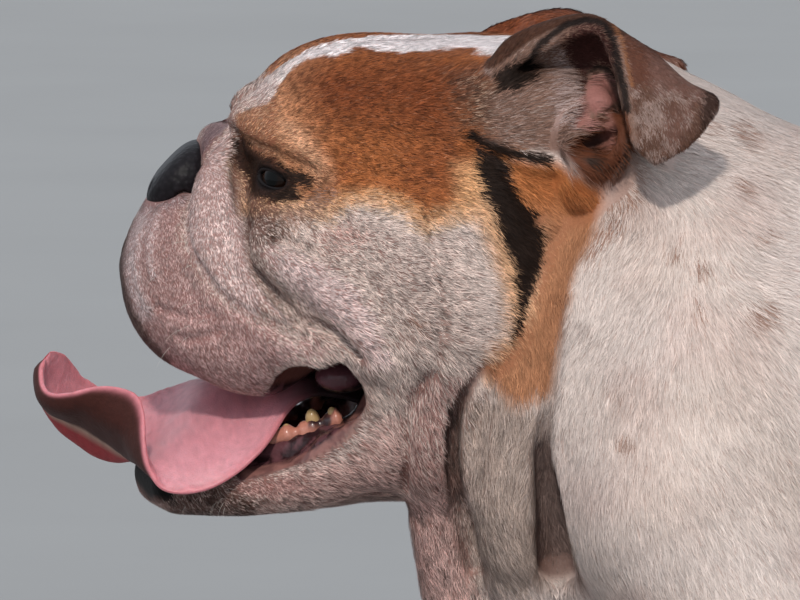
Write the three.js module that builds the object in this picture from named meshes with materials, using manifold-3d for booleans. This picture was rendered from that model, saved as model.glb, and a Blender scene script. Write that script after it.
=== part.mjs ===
// A standing English bulldog, life size, in millimetres. It faces -X, its left side is -Y, up is +Z.
import * as THREE from "three";
import { mergeVertices } from "three/addons/utils/BufferGeometryUtils.js";
import Module from "manifold-3d";

const wasm = await Module();
wasm.setup();

// Driving sizes of a large male, from the ground up.
const SOLE = 0;
const PAW_TOP = 46;
const ELBOW = 187;
const STIFLE = 176;
const FORELEG_SIDE = 110;
const HINDLEG_SIDE = 86;
const EYE_AT = [-46, 48, 369.5];
const EYE_RADIUS = 12;
const EYE_FACES = [-0.6, 0.78, 0.12];
const EAR_THICK = 4;
const TONGUE_THICK = 7;
const GAP = 0.3;

// Side of one cell of the faceted skin, for each kind of node.
const CELL = { head: 9.3, jaw: 9.6, neck: 18, torso: 28, leg: 18, paw: 12.8, tail: 13, nose: 6, ear: 8 };

// Colours of the coat, the bare skin and the eye.
const LOOKS = {
  tan: { color: 0x9c5a2c, roughness: 0.8 },
  white: { color: 0xd9cfc6, roughness: 0.85 },
  pink: { color: 0xc98f86, roughness: 0.75 },
  tongue: { color: 0xc4606c, roughness: 0.4 },
  leather: { color: 0x1d1b1e, roughness: 0.35 },
  eye: { color: 0x120c0a, roughness: 0.08 },
};

// A form gives a distance in millimetres from a point: below zero inside, above zero outside.

// An ellipsoid, with its middle and its three radii, tipped nose down by a pitch in degrees.
function ball([cx, cy, cz], [rx, ry, rz], pitch = 0) {
  const c = Math.cos((pitch * Math.PI) / 180);
  const s = Math.sin((pitch * Math.PI) / 180);
  return (x, y, z) => {
    const dx = x - cx;
    const dz = z - cz;
    const u = (c * dx + s * dz) / rx;
    const v = (y - cy) / ry;
    const w = (c * dz - s * dx) / rz;
    const near = Math.hypot(u, v, w);
    const steep = Math.hypot(u / rx, v / ry, w / rz);
    return steep > 1e-9 ? (near * (near - 1)) / steep : -Math.min(rx, ry, rz);
  };
}

// A tapering round limb through stops, each a middle and a radius.
function limb(stops) {
  return (x, y, z) => {
    let least = Infinity;
    for (let i = 0; i + 1 < stops.length; i++) {
      const [ax, ay, az, ar] = stops[i];
      const [bx, by, bz, br] = stops[i + 1];
      const [ux, uy, uz] = [bx - ax, by - ay, bz - az];
      const along = ((x - ax) * ux + (y - ay) * uy + (z - az) * uz) / (ux * ux + uy * uy + uz * uz);
      const t = Math.min(1, Math.max(0, along));
      const d = Math.hypot(x - ax - t * ux, y - ay - t * uy, z - az - t * uz) - ar - t * (br - ar);
      least = Math.min(least, d);
    }
    return least;
  };
}

// The same form on both sides of the animal.
const pair = (form) => (x, y, z) => form(x, Math.abs(y), z);

// Forms flowed into the first one, each over its own blend width.
function join(first, ...rest) {
  return (x, y, z) => {
    let d = first(x, y, z);
    for (const [blend, form] of rest) {
      const e = form(x, y, z);
      const h = Math.max(blend - Math.abs(d - e), 0) / blend;
      d = Math.min(d, e) - (h * h * blend) / 4;
    }
    return d;
  };
}

// Forms taken out of the first one, with the edge rounded over the blend width.
function carve(first, ...rest) {
  return (x, y, z) => {
    let d = first(x, y, z);
    for (const [blend, form] of rest) {
      const e = -form(x, y, z);
      const h = Math.max(blend - Math.abs(d - e), 0) / blend;
      d = Math.max(d, e) + (h * h * blend) / 4;
    }
    return d;
  };
}

// Skull: a broad flat top, two brow domes with a furrow between, temples and cheeks.
const cranium = ball([22, 0, 374], [88, 72, 53]);
const browDome = pair(ball([-20, 29, 389], [45, 33, 35]));
const temple = pair(ball([38, 44, 380], [52, 36, 43]));
const occiput = ball([74, 0, 384], [42, 62, 42]);
const cheek = pair(ball([20, 63, 322], [56, 37, 56]));
const underEye = pair(ball([-36, 52, 341], [36, 30, 32]));
const browRidge = pair(limb([[-62, 34, 392, 10], [-50, 51, 386, 9], [-34, 60, 379, 9]]));
const furrow = limb([[-74, 0, 404, 7], [-44, 0, 433, 7], [30, 0, 440, 8]]);
const lidBulge = pair(ball(EYE_AT, [13, 13.5, 12.5]));

// Muzzle: short, with hanging upper lips, and a fold over the nose down to the corner of the mouth.
const muzzleCore = ball([-64, 0, 345], [36, 45, 33]);
const lipFront = pair(ball([-83, 26, 323], [33, 29, 38], 22));
const lipSide = pair(ball([-58, 45, 309], [36, 26, 30]));
const lipCorner = pair(limb([[-50, 58, 304, 16], [-28, 64, 312, 13]]));
const noseFold = pair(
  limb([
    [-76, 2, 380, 10],
    [-71, 24, 377, 12],
    [-75, 41, 358, 13],
    [-75, 52, 340, 13],
    [-67, 60, 323, 12],
    [-52, 66, 309, 11],
    [-34, 72, 299, 9],
  ]),
);
const muzzlePad = pair(limb([[-99, 12, 352, 9.5], [-103, 13, 343, 10], [-105, 15, 332, 11.5]]));
const philtrum = limb([[-124, 0, 345, 4], [-118, 0, 310, 4], [-104, 0, 282, 5]]);

// Lower jaw: a broad undershot chin, lips that climb to the corner of the mouth, and its floor.
const jawBone = pair(
  limb([
    [-98, 0, 242, 14],
    [-92, 22, 240, 13],
    [-66, 42, 239, 10.5],
    [-40, 52, 243, 11.5],
    [-14, 58, 258, 17],
    [12, 58, 270, 22],
  ]),
);
const jawFloor = ball([-50, 0, 239], [52, 42, 12]);
const lowerLip = pair(limb([[-36, 58, 248, 5], [-18, 66, 270, 8], [-6, 70, 290, 10]]));
const gumRidge = pair(limb([[-88, 18, 250, 6], [-64, 36, 253, 6], [-44, 44, 257, 6], [-26, 48, 264, 7]]));
const jawAngle = pair(ball([20, 50, 268], [40, 32, 34]));
const throat = ball([14, 0, 264], [44, 46, 34]);
const mouth = ball([-52, 0, 269], [50, 44, 17]);
const mouthCorner = pair(ball([-30, 60, 284], [22, 22, 15]));

// Neck: very thick, with two hanging folds of skin on each side from the jaw to the chest.
const neckCore = ball([92, 0, 330], [64, 88, 90]);
const nape = ball([132, 0, 316], [62, 100, 81]);
const frontFold = pair(
  limb([
    [14, 62, 300, 13],
    [17, 54, 262, 14],
    [18, 42, 228, 15],
    [24, 30, 198, 16],
    [42, 18, 168, 18],
  ]),
);
const rearFold = pair(
  limb([
    [92, 80, 352, 16],
    [72, 86, 318, 18],
    [58, 80, 280, 19],
    [50, 68, 244, 19],
    [52, 52, 210, 18],
    [66, 34, 178, 20],
  ]),
);
const earBase = pair(ball([64, 62, 388], [32, 20, 28]));

// The low back rim of each ear's cup, with the lobe under it and the hollow that leads inwards.
const earRim = pair(
  carve(
    join(ball([79, 80, 387], [17, 14, 19]), [5, ball([77, 80, 372], [13, 12, 14])]),
    [3, ball([80, 88, 395], [12, 14, 15])],
  ),
);

// Trunk: a deep broad chest slung between the forelegs, a rising loin and a narrower rump.
const ribs = ball([206, 0, 262], [148, 130, 124]);
const foreChest = ball([92, 0, 220], [46, 66, 60]);
const shoulder = pair(ball([132, 84, 260], [68, 54, 90]));
const loin = ball([322, 0, 302], [112, 98, 93]);
const rump = ball([408, 0, 300], [78, 88, 84]);
const thigh = pair(ball([412, 60, 258], [58, 42, 80]));
const tailForm = limb([
  [466, 0, 338, 24],
  [494, 0, 322, 17],
  [512, 1, 298, 12],
  [517, 4, 274, 8],
  [516, 6, 256, 5],
]);

// One foreleg, thick and a little bowed, from the shoulder to the pastern.
const foreleg = limb([
  [122, FORELEG_SIDE - 6, 236, 40],
  [148, FORELEG_SIDE + 4, 190, 37],
  [145, FORELEG_SIDE + 7, 150, 34],
  [137, FORELEG_SIDE + 5, 105, 30],
  [132, FORELEG_SIDE, 62, 28],
  [127, FORELEG_SIDE, 42, 28],
]);

// One hind leg: stifle, hock and pastern.
const hindleg = limb([
  [408, HINDLEG_SIDE - 16, 262, 48],
  [382, HINDLEG_SIDE + 3, 206, 41],
  [412, HINDLEG_SIDE, 160, 31],
  [450, HINDLEG_SIDE - 4, 116, 23],
  [456, HINDLEG_SIDE - 5, 96, 21],
  [446, HINDLEG_SIDE - 3, 60, 20],
  [438, HINDLEG_SIDE, 40, 22],
]);

// A paw of four toes round a broad pad, under a pastern at x and side.
const TOES = [-1.5, -0.5, 0.5, 1.5];
function paw(x, side, size) {
  const toes = TOES.map((k) => {
    const reach = 30 - 4.5 * Math.abs(k);
    const middle = [x - reach * size, side + 15.5 * k * size, 14];
    return [5 * size, ball(middle, [21 * size, 9.5 * size, 19 * size])];
  });
  return join(ball([x, side, 18], [35 * size, 34 * size, 27 * size]), ...toes);
}
const FOREPAW_X = 116;
const HINDPAW_X = 430;
const HINDPAW_SIZE = 0.92;
const forepaw = paw(FOREPAW_X, FORELEG_SIDE, 1);
const hindpaw = paw(HINDPAW_X, HINDLEG_SIDE, HINDPAW_SIZE);

const head = carve(
  join(
    cranium,
    [18, browDome],
    [18, temple],
    [18, occiput],
    [22, cheek],
    [18, underEye],
    [9, browRidge],
    [14, muzzleCore],
    [12, lipFront],
    [8, muzzlePad],
    [12, lipSide],
    [10, lipCorner],
    [7, noseFold],
    [6, lidBulge],
    [14, earBase],
  ),
  [10, furrow],
  [5, philtrum],
);
const jaw = join(jawBone, [10, jawFloor], [8, lowerLip], [4, gumRidge]);
const headAndJaw = carve(
  join(head, [16, jawAngle], [16, throat], [12, jaw]),
  [6, mouth],
  [6, mouthCorner],
);
const trunk = join(
  ribs,
  [30, foreChest],
  [30, shoulder],
  [40, loin],
  [40, rump],
  [26, thigh],
  [14, tailForm],
);
const legs = join(pair(foreleg), [20, pair(hindleg)], [14, pair(forepaw)], [14, pair(hindpaw)]);
const neck = join(neckCore, [30, nape]);
const skin = join(headAndJaw, [14, neck], [9, frontFold], [10, rearFold], [26, trunk], [20, legs]);

// All that lies beyond a plane, given by its outward direction and its distance from the origin.
const beyond = ([nx, ny, nz], far) => (x, y, z) => far - nx * x - ny * y - nz * z;

// Nose leather: a flat sloping face that looks forward and up, with a slit nostril on each side.
const NOSE_LEAN = -43;
const noseFace = beyond([-0.735, 0, 0.68], 326);
const noseForm = carve(
  join(
    ball([-90, 0, 366.4], [15, 25, 18], NOSE_LEAN),
    [5, pair(ball([-92, 12, 366], [13, 14, 16], NOSE_LEAN))],
  ),
  [6, noseFace],
  [2, pair(limb([[-112, 9, 366, 3.6], [-98, 13, 362, 3.4]]))],
  [2, pair(limb([[-104, 12, 362, 2.6], [-90, 25, 361, 2.2]]))],
  [2, limb([[-118, 0, 372, 1.6], [-104, 0, 346, 1.6]])],
);

// Cells whose corners split into two parts would pinch the surface, so one more corner is filled.
const CORNERS = [...Array(8).keys()].map((i) => [i & 1, (i >> 1) & 1, (i >> 2) & 1]);
const touching = (a, b) => [1, 2, 4].includes(a ^ b);
function partsOf(corners) {
  const left = new Set(corners);
  let count = 0;
  while (left.size) {
    const queue = [left.values().next().value];
    left.delete(queue[0]);
    while (queue.length) {
      const at = queue.pop();
      for (const other of [...left]) {
        if (touching(at, other)) {
          left.delete(other);
          queue.push(other);
        }
      }
    }
    count++;
  }
  return count;
}
const FACES = [0, 1, 2].flatMap((axis) =>
  [0, 1].map((side) => [...Array(8).keys()].filter((i) => CORNERS[i][axis] === side)),
);
const PINCHED = [...Array(256).keys()].map((mask) => {
  const inside = [...Array(8).keys()].filter((i) => mask & (1 << i));
  const outside = [...Array(8).keys()].filter((i) => !(mask & (1 << i)));
  const crossed = FACES.some((face) => {
    const held = face.filter((i) => mask & (1 << i));
    return held.length === 2 && !touching(held[0], held[1]);
  });
  return crossed || partsOf(inside) > 1 || partsOf(outside) > 1;
});

// The closed surface of a form inside a box, as even facets about one cell wide.
function surfaceOf(form, low, high, cell, level = 0) {
  const n = [0, 1, 2].map((a) => Math.ceil((high[a] - low[a]) / cell) + 1);
  const at = (i, j, k) => i + n[0] * (j + n[1] * k);
  const value = new Float64Array(n[0] * n[1] * n[2]);
  for (let k = 0; k < n[2]; k++) {
    for (let j = 0; j < n[1]; j++) {
      for (let i = 0; i < n[0]; i++) {
        const rim = !i || !j || !k || i === n[0] - 1 || j === n[1] - 1 || k === n[2] - 1;
        const d = form(low[0] + i * cell, low[1] + j * cell, low[2] + k * cell) - level;
        value[at(i, j, k)] = rim ? Math.max(d, 0.1 * cell) : d || 1e-6;
      }
    }
  }
  const maskAt = (i, j, k) =>
    CORNERS.reduce((m, [a, b, c], q) => m | (value[at(i + a, j + b, k + c)] < 0 ? 1 << q : 0), 0);
  for (let changed = true; changed; ) {
    changed = false;
    for (let k = 0; k < n[2] - 1; k++) {
      for (let j = 0; j < n[1] - 1; j++) {
        for (let i = 0; i < n[0] - 1; i++) {
          if (!PINCHED[maskAt(i, j, k)]) continue;
          const open = CORNERS.map(([a, b, c]) => at(i + a, j + b, k + c)).filter((q) => value[q] > 0);
          open.sort((p, q) => value[p] - value[q]);
          value[open[0]] = -0.02 * cell;
          changed = true;
        }
      }
    }
  }
  const spots = [];
  const spotOf = new Map();
  for (let k = 0; k < n[2] - 1; k++) {
    for (let j = 0; j < n[1] - 1; j++) {
      for (let i = 0; i < n[0] - 1; i++) {
        const mask = maskAt(i, j, k);
        if (mask === 0 || mask === 255) continue;
        const sum = [0, 0, 0];
        let crossings = 0;
        for (let p = 0; p < 8; p++) {
          for (const q of [p | 1, p | 2, p | 4]) {
            if (q === p || !(mask & (1 << p)) === !(mask & (1 << q))) continue;
            const [vp, vq] = [p, q].map((c) => {
              const [di, dj, dk] = CORNERS[c];
              return value[at(i + di, j + dj, k + dk)];
            });
            const t = vp / (vp - vq);
            for (let a = 0; a < 3; a++) sum[a] += CORNERS[p][a] + t * (CORNERS[q][a] - CORNERS[p][a]);
            crossings++;
          }
        }
        spotOf.set(at(i, j, k), spots.length);
        const spot = [i, j, k].map((v, a) => low[a] + (v + sum[a] / crossings) * cell);
        spots.push(settled(form, spot, level, 0.35 * cell));
      }
    }
  }
  const faces = [];
  const step = [1, n[0], n[0] * n[1]];
  for (let k = 0; k < n[2] - 1; k++) {
    for (let j = 0; j < n[1] - 1; j++) {
      for (let i = 0; i < n[0] - 1; i++) {
        const here = at(i, j, k);
        for (let a = 0; a < 3; a++) {
          const inside = value[here] < 0;
          if (inside === value[here + step[a]] < 0) continue;
          const [b, c] = [step[(a + 1) % 3], step[(a + 2) % 3]];
          const ring = [here - b - c, here - c, here, here - b].map((q) => spotOf.get(q));
          const [p, q, r, s] = inside ? ring : ring.reverse();
          const short = gapBetween(spots[p], spots[r]) <= gapBetween(spots[q], spots[s]);
          faces.push(...(short ? [p, q, r, p, r, s] : [p, q, s, q, r, s]));
        }
      }
    }
  }
  const made = new THREE.BufferGeometry();
  made.setAttribute("position", new THREE.Float32BufferAttribute(spots.flat(), 3));
  made.setIndex(faces);
  return made;
}

const gapBetween = (a, b) => Math.hypot(a[0] - b[0], a[1] - b[1], a[2] - b[2]);

// A point moved along the slope of a form onto its surface, by no more than a given reach.
function settled(form, [x, y, z], level, reach) {
  const h = 0.05;
  const d = form(x, y, z) - level;
  const slope = [
    (form(x + h, y, z) - form(x - h, y, z)) / (2 * h),
    (form(x, y + h, z) - form(x, y - h, z)) / (2 * h),
    (form(x, y, z + h) - form(x, y, z - h)) / (2 * h),
  ];
  const steep = Math.max(0.3, Math.hypot(...slope));
  const move = Math.max(-reach, Math.min(reach, -d / steep));
  return [x + (move * slope[0]) / steep, y + (move * slope[1]) / steep, z + (move * slope[2]) / steep];
}

// Solids from geometry and back.
function solidOf(geometry) {
  const bare = new THREE.BufferGeometry().setAttribute("position", geometry.getAttribute("position"));
  if (geometry.index) bare.setIndex(geometry.index);
  const merged = mergeVertices(bare, 1e-4);
  const vertProperties = new Float32Array(merged.getAttribute("position").array);
  const triVerts = new Uint32Array(merged.index.array);
  return new wasm.Manifold(new wasm.Mesh({ numProp: 3, vertProperties, triVerts }));
}

function geometryOf(solid) {
  const mesh = solid.getMesh();
  const made = new THREE.BufferGeometry();
  made.setAttribute("position", new THREE.BufferAttribute(new Float32Array(mesh.vertProperties), 3));
  made.setIndex(new THREE.BufferAttribute(new Uint32Array(mesh.triVerts), 1));
  return made;
}

const largestOf = (solid) => solid.decompose().sort((a, b) => b.volume() - a.volume())[0];

// A long block with a given outline, in the side view or in the front view.
const OUT = 700;
function block(outline, basis, from, to) {
  const shape = new THREE.Shape(outline.map(([u, v]) => new THREE.Vector2(u, v)));
  const made = new THREE.ExtrudeGeometry(shape, { depth: to - from, bevelEnabled: false });
  made.translate(0, 0, from);
  return solidOf(made.applyMatrix4(new THREE.Matrix4().makeBasis(...basis)));
}
const axis = (x, y, z) => new THREE.Vector3(x, y, z);
const sideBlock = (outline) => block(outline, [axis(1, 0, 0), axis(0, 0, 1), axis(0, -1, 0)], -OUT, OUT);
const frontBlock = (outline, x0, x1) =>
  block(outline, [axis(0, 1, 0), axis(0, 0, 1), axis(1, 0, 0)], x0, x1);

// Where the animal is parted: lines in the side view, each moved half a gap to either side.
const NECK_CUT = [[-8, 205], [50, 328], [100, 370], [114, 470]];
const SHOULDER_CUT = [[18, 100], [62, 200], [172, 470]];
const JAW_CUT = [[-200, 266], [-62, 268], [-12, 284], [60, 262]];
const TAIL_CUT = 492;
const moved = (line, dx, dz) => line.map(([x, z]) => [x + dx, z + dz]);

const inFrontOfNeck = (dx) => sideBlock([[-200, 205], ...moved(NECK_CUT, dx, 0), [-200, 470]]);
const inFrontOfShoulder = (dx) =>
  sideBlock([[-200, 100], ...moved(SHOULDER_CUT, dx, 0), [-200, 470]]);
const underMouth = (dz) => sideBlock([[-200, 100], [60, 100], ...moved(JAW_CUT, 0, dz).reverse()]);

// Leg blocks stand beside the chest or the belly: inner edge, step up to the trunk, and top.
const FORE_BLOCK = { x: [62, 236], inner: 68, step: 148, wide: 92, top: ELBOW };
const HIND_BLOCK = { x: [325, 500], inner: 36, step: 164, wide: 44, top: STIFLE + 12 };
function legBlock({ x, inner, step, wide, top }, side, grow) {
  const outline = [
    [side * (inner - grow), SOLE - (grow ? 20 : 0)],
    [side * (inner - grow), step],
    [side * (wide - grow), top + grow],
    [side * 200, top + grow],
    [side * 200, SOLE - (grow ? 20 : 0)],
  ];
  return frontBlock(side > 0 ? outline.reverse() : outline, x[0] - grow, x[1] + grow);
}

const slab = (z0, z1) => frontBlock([[-OUT, z0], [OUT, z0], [OUT, z1], [-OUT, z1]], -OUT, 2 * OUT);

// A sheet through a net of control points, with a thickness that thins towards its free edges.
function sheet(net, rows, columns, thick, thin) {
  const curve = (points) =>
    new THREE.CatmullRomCurve3(points.map((p) => axis(...p)), false, "centripetal");
  const across = net.map((row) => curve(row).getPoints(columns));
  const grid = [];
  for (let j = 0; j <= columns; j++) grid.push(curve(across.map((row) => row[j].toArray())).getPoints(rows));
  const normalAt = (i, j) => {
    const along = grid[j][Math.min(rows, i + 1)].clone().sub(grid[j][Math.max(0, i - 1)]);
    const over = grid[Math.min(columns, j + 1)][i].clone().sub(grid[Math.max(0, j - 1)][i]);
    return along.cross(over).normalize();
  };
  const places = [];
  for (const face of [1, -1]) {
    for (let i = 0; i <= rows; i++) {
      for (let j = 0; j <= columns; j++) {
        const half = (face * (thick - (thick - thin) * edgeShare(i / rows, j / columns))) / 2;
        places.push(...normalAt(i, j).multiplyScalar(half).add(grid[j][i]).toArray());
      }
    }
  }
  const at = (face, i, j) => (face * (rows + 1) + i) * (columns + 1) + j;
  const faces = [];
  const quad = (a, b, c, d) => faces.push(a, b, c, a, c, d);
  for (let i = 0; i < rows; i++) {
    for (let j = 0; j < columns; j++) {
      quad(at(0, i, j), at(0, i + 1, j), at(0, i + 1, j + 1), at(0, i, j + 1));
      faces.push(at(1, i, j), at(1, i + 1, j + 1), at(1, i + 1, j));
      faces.push(at(1, i, j), at(1, i, j + 1), at(1, i + 1, j + 1));
    }
  }
  for (let i = 0; i < rows; i++) {
    quad(at(0, i, 0), at(1, i, 0), at(1, i + 1, 0), at(0, i + 1, 0));
    quad(at(0, i + 1, columns), at(1, i + 1, columns), at(1, i, columns), at(0, i, columns));
  }
  for (let j = 0; j < columns; j++) {
    quad(at(0, 0, j + 1), at(1, 0, j + 1), at(1, 0, j), at(0, 0, j));
    quad(at(0, rows, j), at(1, rows, j), at(1, rows, j + 1), at(0, rows, j + 1));
  }
  const made = new THREE.BufferGeometry();
  made.setAttribute("position", new THREE.Float32BufferAttribute(places, 3));
  made.setIndex(faces);
  const solid = solidOf(made);
  if (solid.volume() > 0) return solid;
  for (let i = 0; i < faces.length; i += 3) [faces[i], faces[i + 1]] = [faces[i + 1], faces[i]];
  made.setIndex(faces);
  return solidOf(made);
}

// How near a place on a sheet is to a free edge: one at the edge, nothing in the middle.
const edgeShare = (u, v) => Math.max(Math.abs(2 * v - 1) ** 4, u ** 6);

// Folded rose ear as a hood: from the skull over its crest to the hanging edge, root to tip.
// A low carriage sinks the crest towards the skull, and an ear may be set further forward.
function earNet(side, { carriage, forward }) {
  const level = 404;
  const place = ([x, y, z]) => [x - forward, side * y, z > level ? level + (z - level) * carriage : z];
  return [
    [[38, 52, 396], [35, 56, 404], [34, 60, 412], [35, 64, 412], [36, 67, 407]],
    [[54, 50, 398], [48, 56, 415], [47, 61, 428], [50, 67, 429], [52, 71, 423]],
    [[76, 54, 398], [76, 59, 418], [75, 67, 435], [77, 77, 439], [79, 83, 435]],
    [[98, 60, 390], [101, 68, 408], [101, 82, 425], [95, 92, 428], [88, 95, 423]],
    [[106, 72, 384], [114, 82, 399], [117, 96, 413], [108, 104, 413], [93, 106, 404]],
    [[107, 86, 384], [119, 94, 394], [129, 101, 407], [119, 108, 399], [97, 112, 391]],
    [[107, 94, 384], [116, 99, 390], [125, 105, 399], [116, 110, 390], [104, 112, 384]],
  ].map((row) => row.map(place));
}

// Tongue rows from its root to its tip: near edge, then across to the far edge.
// It slopes over the left lower lip, then its near edge swings up and it becomes a scoop with a raised tip.
const TONGUE_NET = [
  [[0, -26, 270], [-2, -14, 277], [-2, 0, 279], [-2, 14, 277], [0, 26, 270]],
  [[-38, -36, 278], [-38, -22, 283], [-38, -2, 286], [-38, 15, 285], [-38, 30, 281]],
  [[-58, -56, 257], [-60, -38, 268], [-58, -8, 278], [-58, 12, 280], [-58, 28, 276]],
  [[-73, -59, 245], [-74, -44, 259], [-73, -14, 273], [-72, 8, 278], [-72, 30, 278]],
  [[-86, -60, 240], [-87, -47, 254], [-86, -18, 266], [-85, 6, 273], [-85, 32, 278]],
  [[-98, -59, 241], [-98, -47, 251], [-97, -20, 258], [-96, 6, 264], [-95, 32, 275]],
  [[-104, -58, 249], [-105, -46, 250], [-104, -18, 253], [-103, 6, 258], [-102, 31, 273]],
  [[-106.5, -56, 262], [-109, -44, 254], [-110, -16, 251], [-110, 6, 253], [-108, 30, 271]],
  [[-107, -50, 273], [-113, -39, 262], [-116, -14, 253], [-116, 7, 250], [-115, 29, 271]],
  [[-110, -45, 279.5], [-119, -35, 267], [-121, -12, 256], [-121, 8, 249.5], [-121, 28, 273]],
  [[-117, -40, 282], [-125, -31, 270], [-127, -11, 259.5], [-127, 8, 251], [-127, 27, 275]],
  [[-127, -36, 282], [-132, -28, 273], [-133, -10, 263], [-133, 8, 255], [-131, 25, 278]],
  [[-137, -31, 279.3], [-139, -24, 272], [-140, -9, 266], [-140, 7, 260], [-135, 22, 281]],
  [[-146, -24, 278], [-146, -19, 273], [-146, -8, 269.5], [-145, 6, 267], [-138, 18, 286]],
  [[-150, -16, 281], [-150.5, -13, 277.5], [-150.5, -6, 276], [-149, 4, 277], [-141, 12, 290.5]],
  [[-150.5, -9, 287], [-151.5, -7, 284.5], [-151.5, -4, 283.8], [-150, 1, 285], [-144.5, 7, 292.5]],
];

// Turned round things: an eyeball, a socket, a rim round the eye.
function turned(geometry, [x, y, z], facing, stretch = [1, 1, 1]) {
  const out = axis(...facing).normalize();
  const across = axis(-out.y, out.x, 0).normalize();
  const turn = new THREE.Matrix4().makeBasis(across, out.clone().cross(across), out);
  turn.scale(axis(...stretch)).setPosition(x, y, z);
  return solidOf(geometry.applyMatrix4(turn));
}
const eyePlace = (side) => [EYE_AT[0], side * EYE_AT[1], EYE_AT[2]];
const eyeFacing = (side) => [EYE_FACES[0], side * EYE_FACES[1], EYE_FACES[2]];
const eyeBall = (side) =>
  turned(new THREE.SphereGeometry(EYE_RADIUS, 14, 9), eyePlace(side), eyeFacing(side));
const eyeSocket = (side) =>
  turned(new THREE.SphereGeometry(EYE_RADIUS + GAP, 14, 9), eyePlace(side), eyeFacing(side));

// The lids: an almond opening in the skin with a raised rim, against the front of the eyeball.
const LID = { reach: 8.5, radius: 11, tube: 2.8, squash: 0.7 };
const lidPlace = (side) => eyePlace(side).map((v, a) => v + LID.reach * eyeFacing(side)[a]);
function lids(side) {
  const ring = new THREE.TorusGeometry(LID.radius, LID.tube, 6, 14);
  return turned(ring, lidPlace(side), eyeFacing(side), [1, LID.squash, 1]);
}
function lidOpening(side) {
  const shape = new THREE.CylinderGeometry(LID.radius, LID.radius, 30, 14).rotateX(Math.PI / 2);
  return turned(shape.translate(0, 0, 15), eyePlace(side), eyeFacing(side), [1, LID.squash, 1]);
}

// Teeth that the open mouth shows, and claws at the toes: short blunt cones.
function peg([x, y, z], [dx, dy, dz], long, wide) {
  const cone = new THREE.CylinderGeometry(wide * 0.35, wide, long, 7, 1).rotateX(Math.PI / 2);
  return turned(cone.translate(0, 0, long / 2 - wide), [x, y, z], [dx, dy, dz]);
}
const TEETH = { first: [-84, 21, 254], last: [-28, 47, 269], count: 6, long: 10, wide: 3.4 };
function lowerTeeth(grow = 0) {
  const made = [];
  for (const side of [-1, 1]) {
    for (let i = 0; i < TEETH.count; i++) {
      const t = i / (TEETH.count - 1);
      const at = TEETH.first.map((v, a) => v + t * (TEETH.last[a] - v));
      const long = TEETH.long * (i === 0 ? 1.5 : 0.8 + 0.4 * t);
      const wide = TEETH.wide + 1.6 * t + grow;
      made.push(peg([at[0], side * at[1], at[2]], [0, side * 0.15, 1], long + 2 * grow, wide));
    }
  }
  return made;
}
const CLAW = { long: 15, wide: 4.2, height: 13 };
function claws(x, side, size) {
  return TOES.map((k) => {
    const reach = 30 - 4.5 * Math.abs(k) + 17;
    const at = [x - reach * size, side + Math.sign(side) * 15.5 * k * size, CLAW.height];
    return peg(at, [-0.86, 0, -0.5], CLAW.long, CLAW.wide);
  });
}

// A node's solid: the skin inside a box, at a cell size, kept where the blocks allow.
function skinIn(low, high, cell, level = 0) {
  return solidOf(surfaceOf(skin, low, high, cell, level));
}
const HEAD_BOX = [[-145, -125, 200], [130, 125, 455]];

function headSolid() {
  let made = skinIn(...HEAD_BOX, CELL.head).intersect(inFrontOfNeck(-GAP / 2)).subtract(underMouth(GAP / 2));
  for (const side of [-1, 1]) {
    made = made.subtract(lidOpening(side)).add(lids(side)).subtract(eyeSocket(side));
    made = made.add(earRimSolid(side));
  }
  return largestOf(made.subtract(noseSolid(CLEAR)).subtract(noseSolid()));
}
const CLEAR = 2 * GAP;
const NOSE_BOX = [[-125, -40, 335], [-60, 40, 400]];
const noseSolid = (grow = 0) => largestOf(solidOf(surfaceOf(noseForm, ...NOSE_BOX, CELL.nose, grow)));
function earRimSolid(side) {
  const [low, high] = [[55, 60, 350], [105, 102, 412]];
  const box = side > 0 ? [low, high] : [[low[0], -high[1], low[2]], [high[0], -low[1], high[2]]];
  return solidOf(surfaceOf(earRim, ...box, CELL.ear));
}

const JAW_BOX = [[-130, -100, 195], [75, 100, 310]];
function jawSolid() {
  let made = skinIn(...JAW_BOX, CELL.jaw);
  made = made.intersect(inFrontOfNeck(-GAP / 2)).intersect(underMouth(-GAP / 2));
  for (const tooth of lowerTeeth()) made = made.add(tooth);
  return largestOf(made);
}

const NECK_BOX = [[-25, -145, 120], [215, 145, 470]];
const neckSolid = () =>
  largestOf(
    skinIn(...NECK_BOX, CELL.neck)
      .subtract(inFrontOfNeck(GAP / 2))
      .intersect(inFrontOfShoulder(-GAP / 2)),
  );

function torsoSolid() {
  let made = skinIn([-10, -175, 110], [560, 175, 450], CELL.torso).subtract(inFrontOfShoulder(GAP / 2));
  for (const side of [-1, 1]) {
    for (const leg of [FORE_BLOCK, HIND_BLOCK]) made = made.subtract(legBlock(leg, side, GAP));
  }
  return largestOf(made.subtract(sideBlock([[TAIL_CUT, 100], [700, 100], [700, 470], [TAIL_CUT, 470]])));
}

const TAIL_BLOCK = [[TAIL_CUT + GAP, 100], [700, 100], [700, 470], [TAIL_CUT + GAP, 470]];
function tailSolid() {
  const made = skinIn([470, -40, 230], [545, 40, 365], CELL.tail);
  return largestOf(made.intersect(sideBlock(TAIL_BLOCK)));
}

function legSolid(leg, side) {
  const [y0, y1] = side < 0 ? [-170, -30] : [30, 170];
  const made = skinIn([leg.x[0] - 15, y0, 20], [leg.x[1] + 15, y1, 230], CELL.leg);
  return largestOf(made.intersect(legBlock(leg, side, 0)).intersect(slab(PAW_TOP + GAP / 2, 300)));
}

function pawSolid(leg, side, x, sideways, size) {
  const [y0, y1] = side < 0 ? [-170, -30] : [30, 170];
  let made = skinIn([x - 70, y0, -25], [x + 55, y1, 70], CELL.paw);
  for (const claw of claws(x, side * sideways, size)) made = made.add(claw);
  return largestOf(made.intersect(slab(SOLE, PAW_TOP - GAP / 2)));
}

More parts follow.
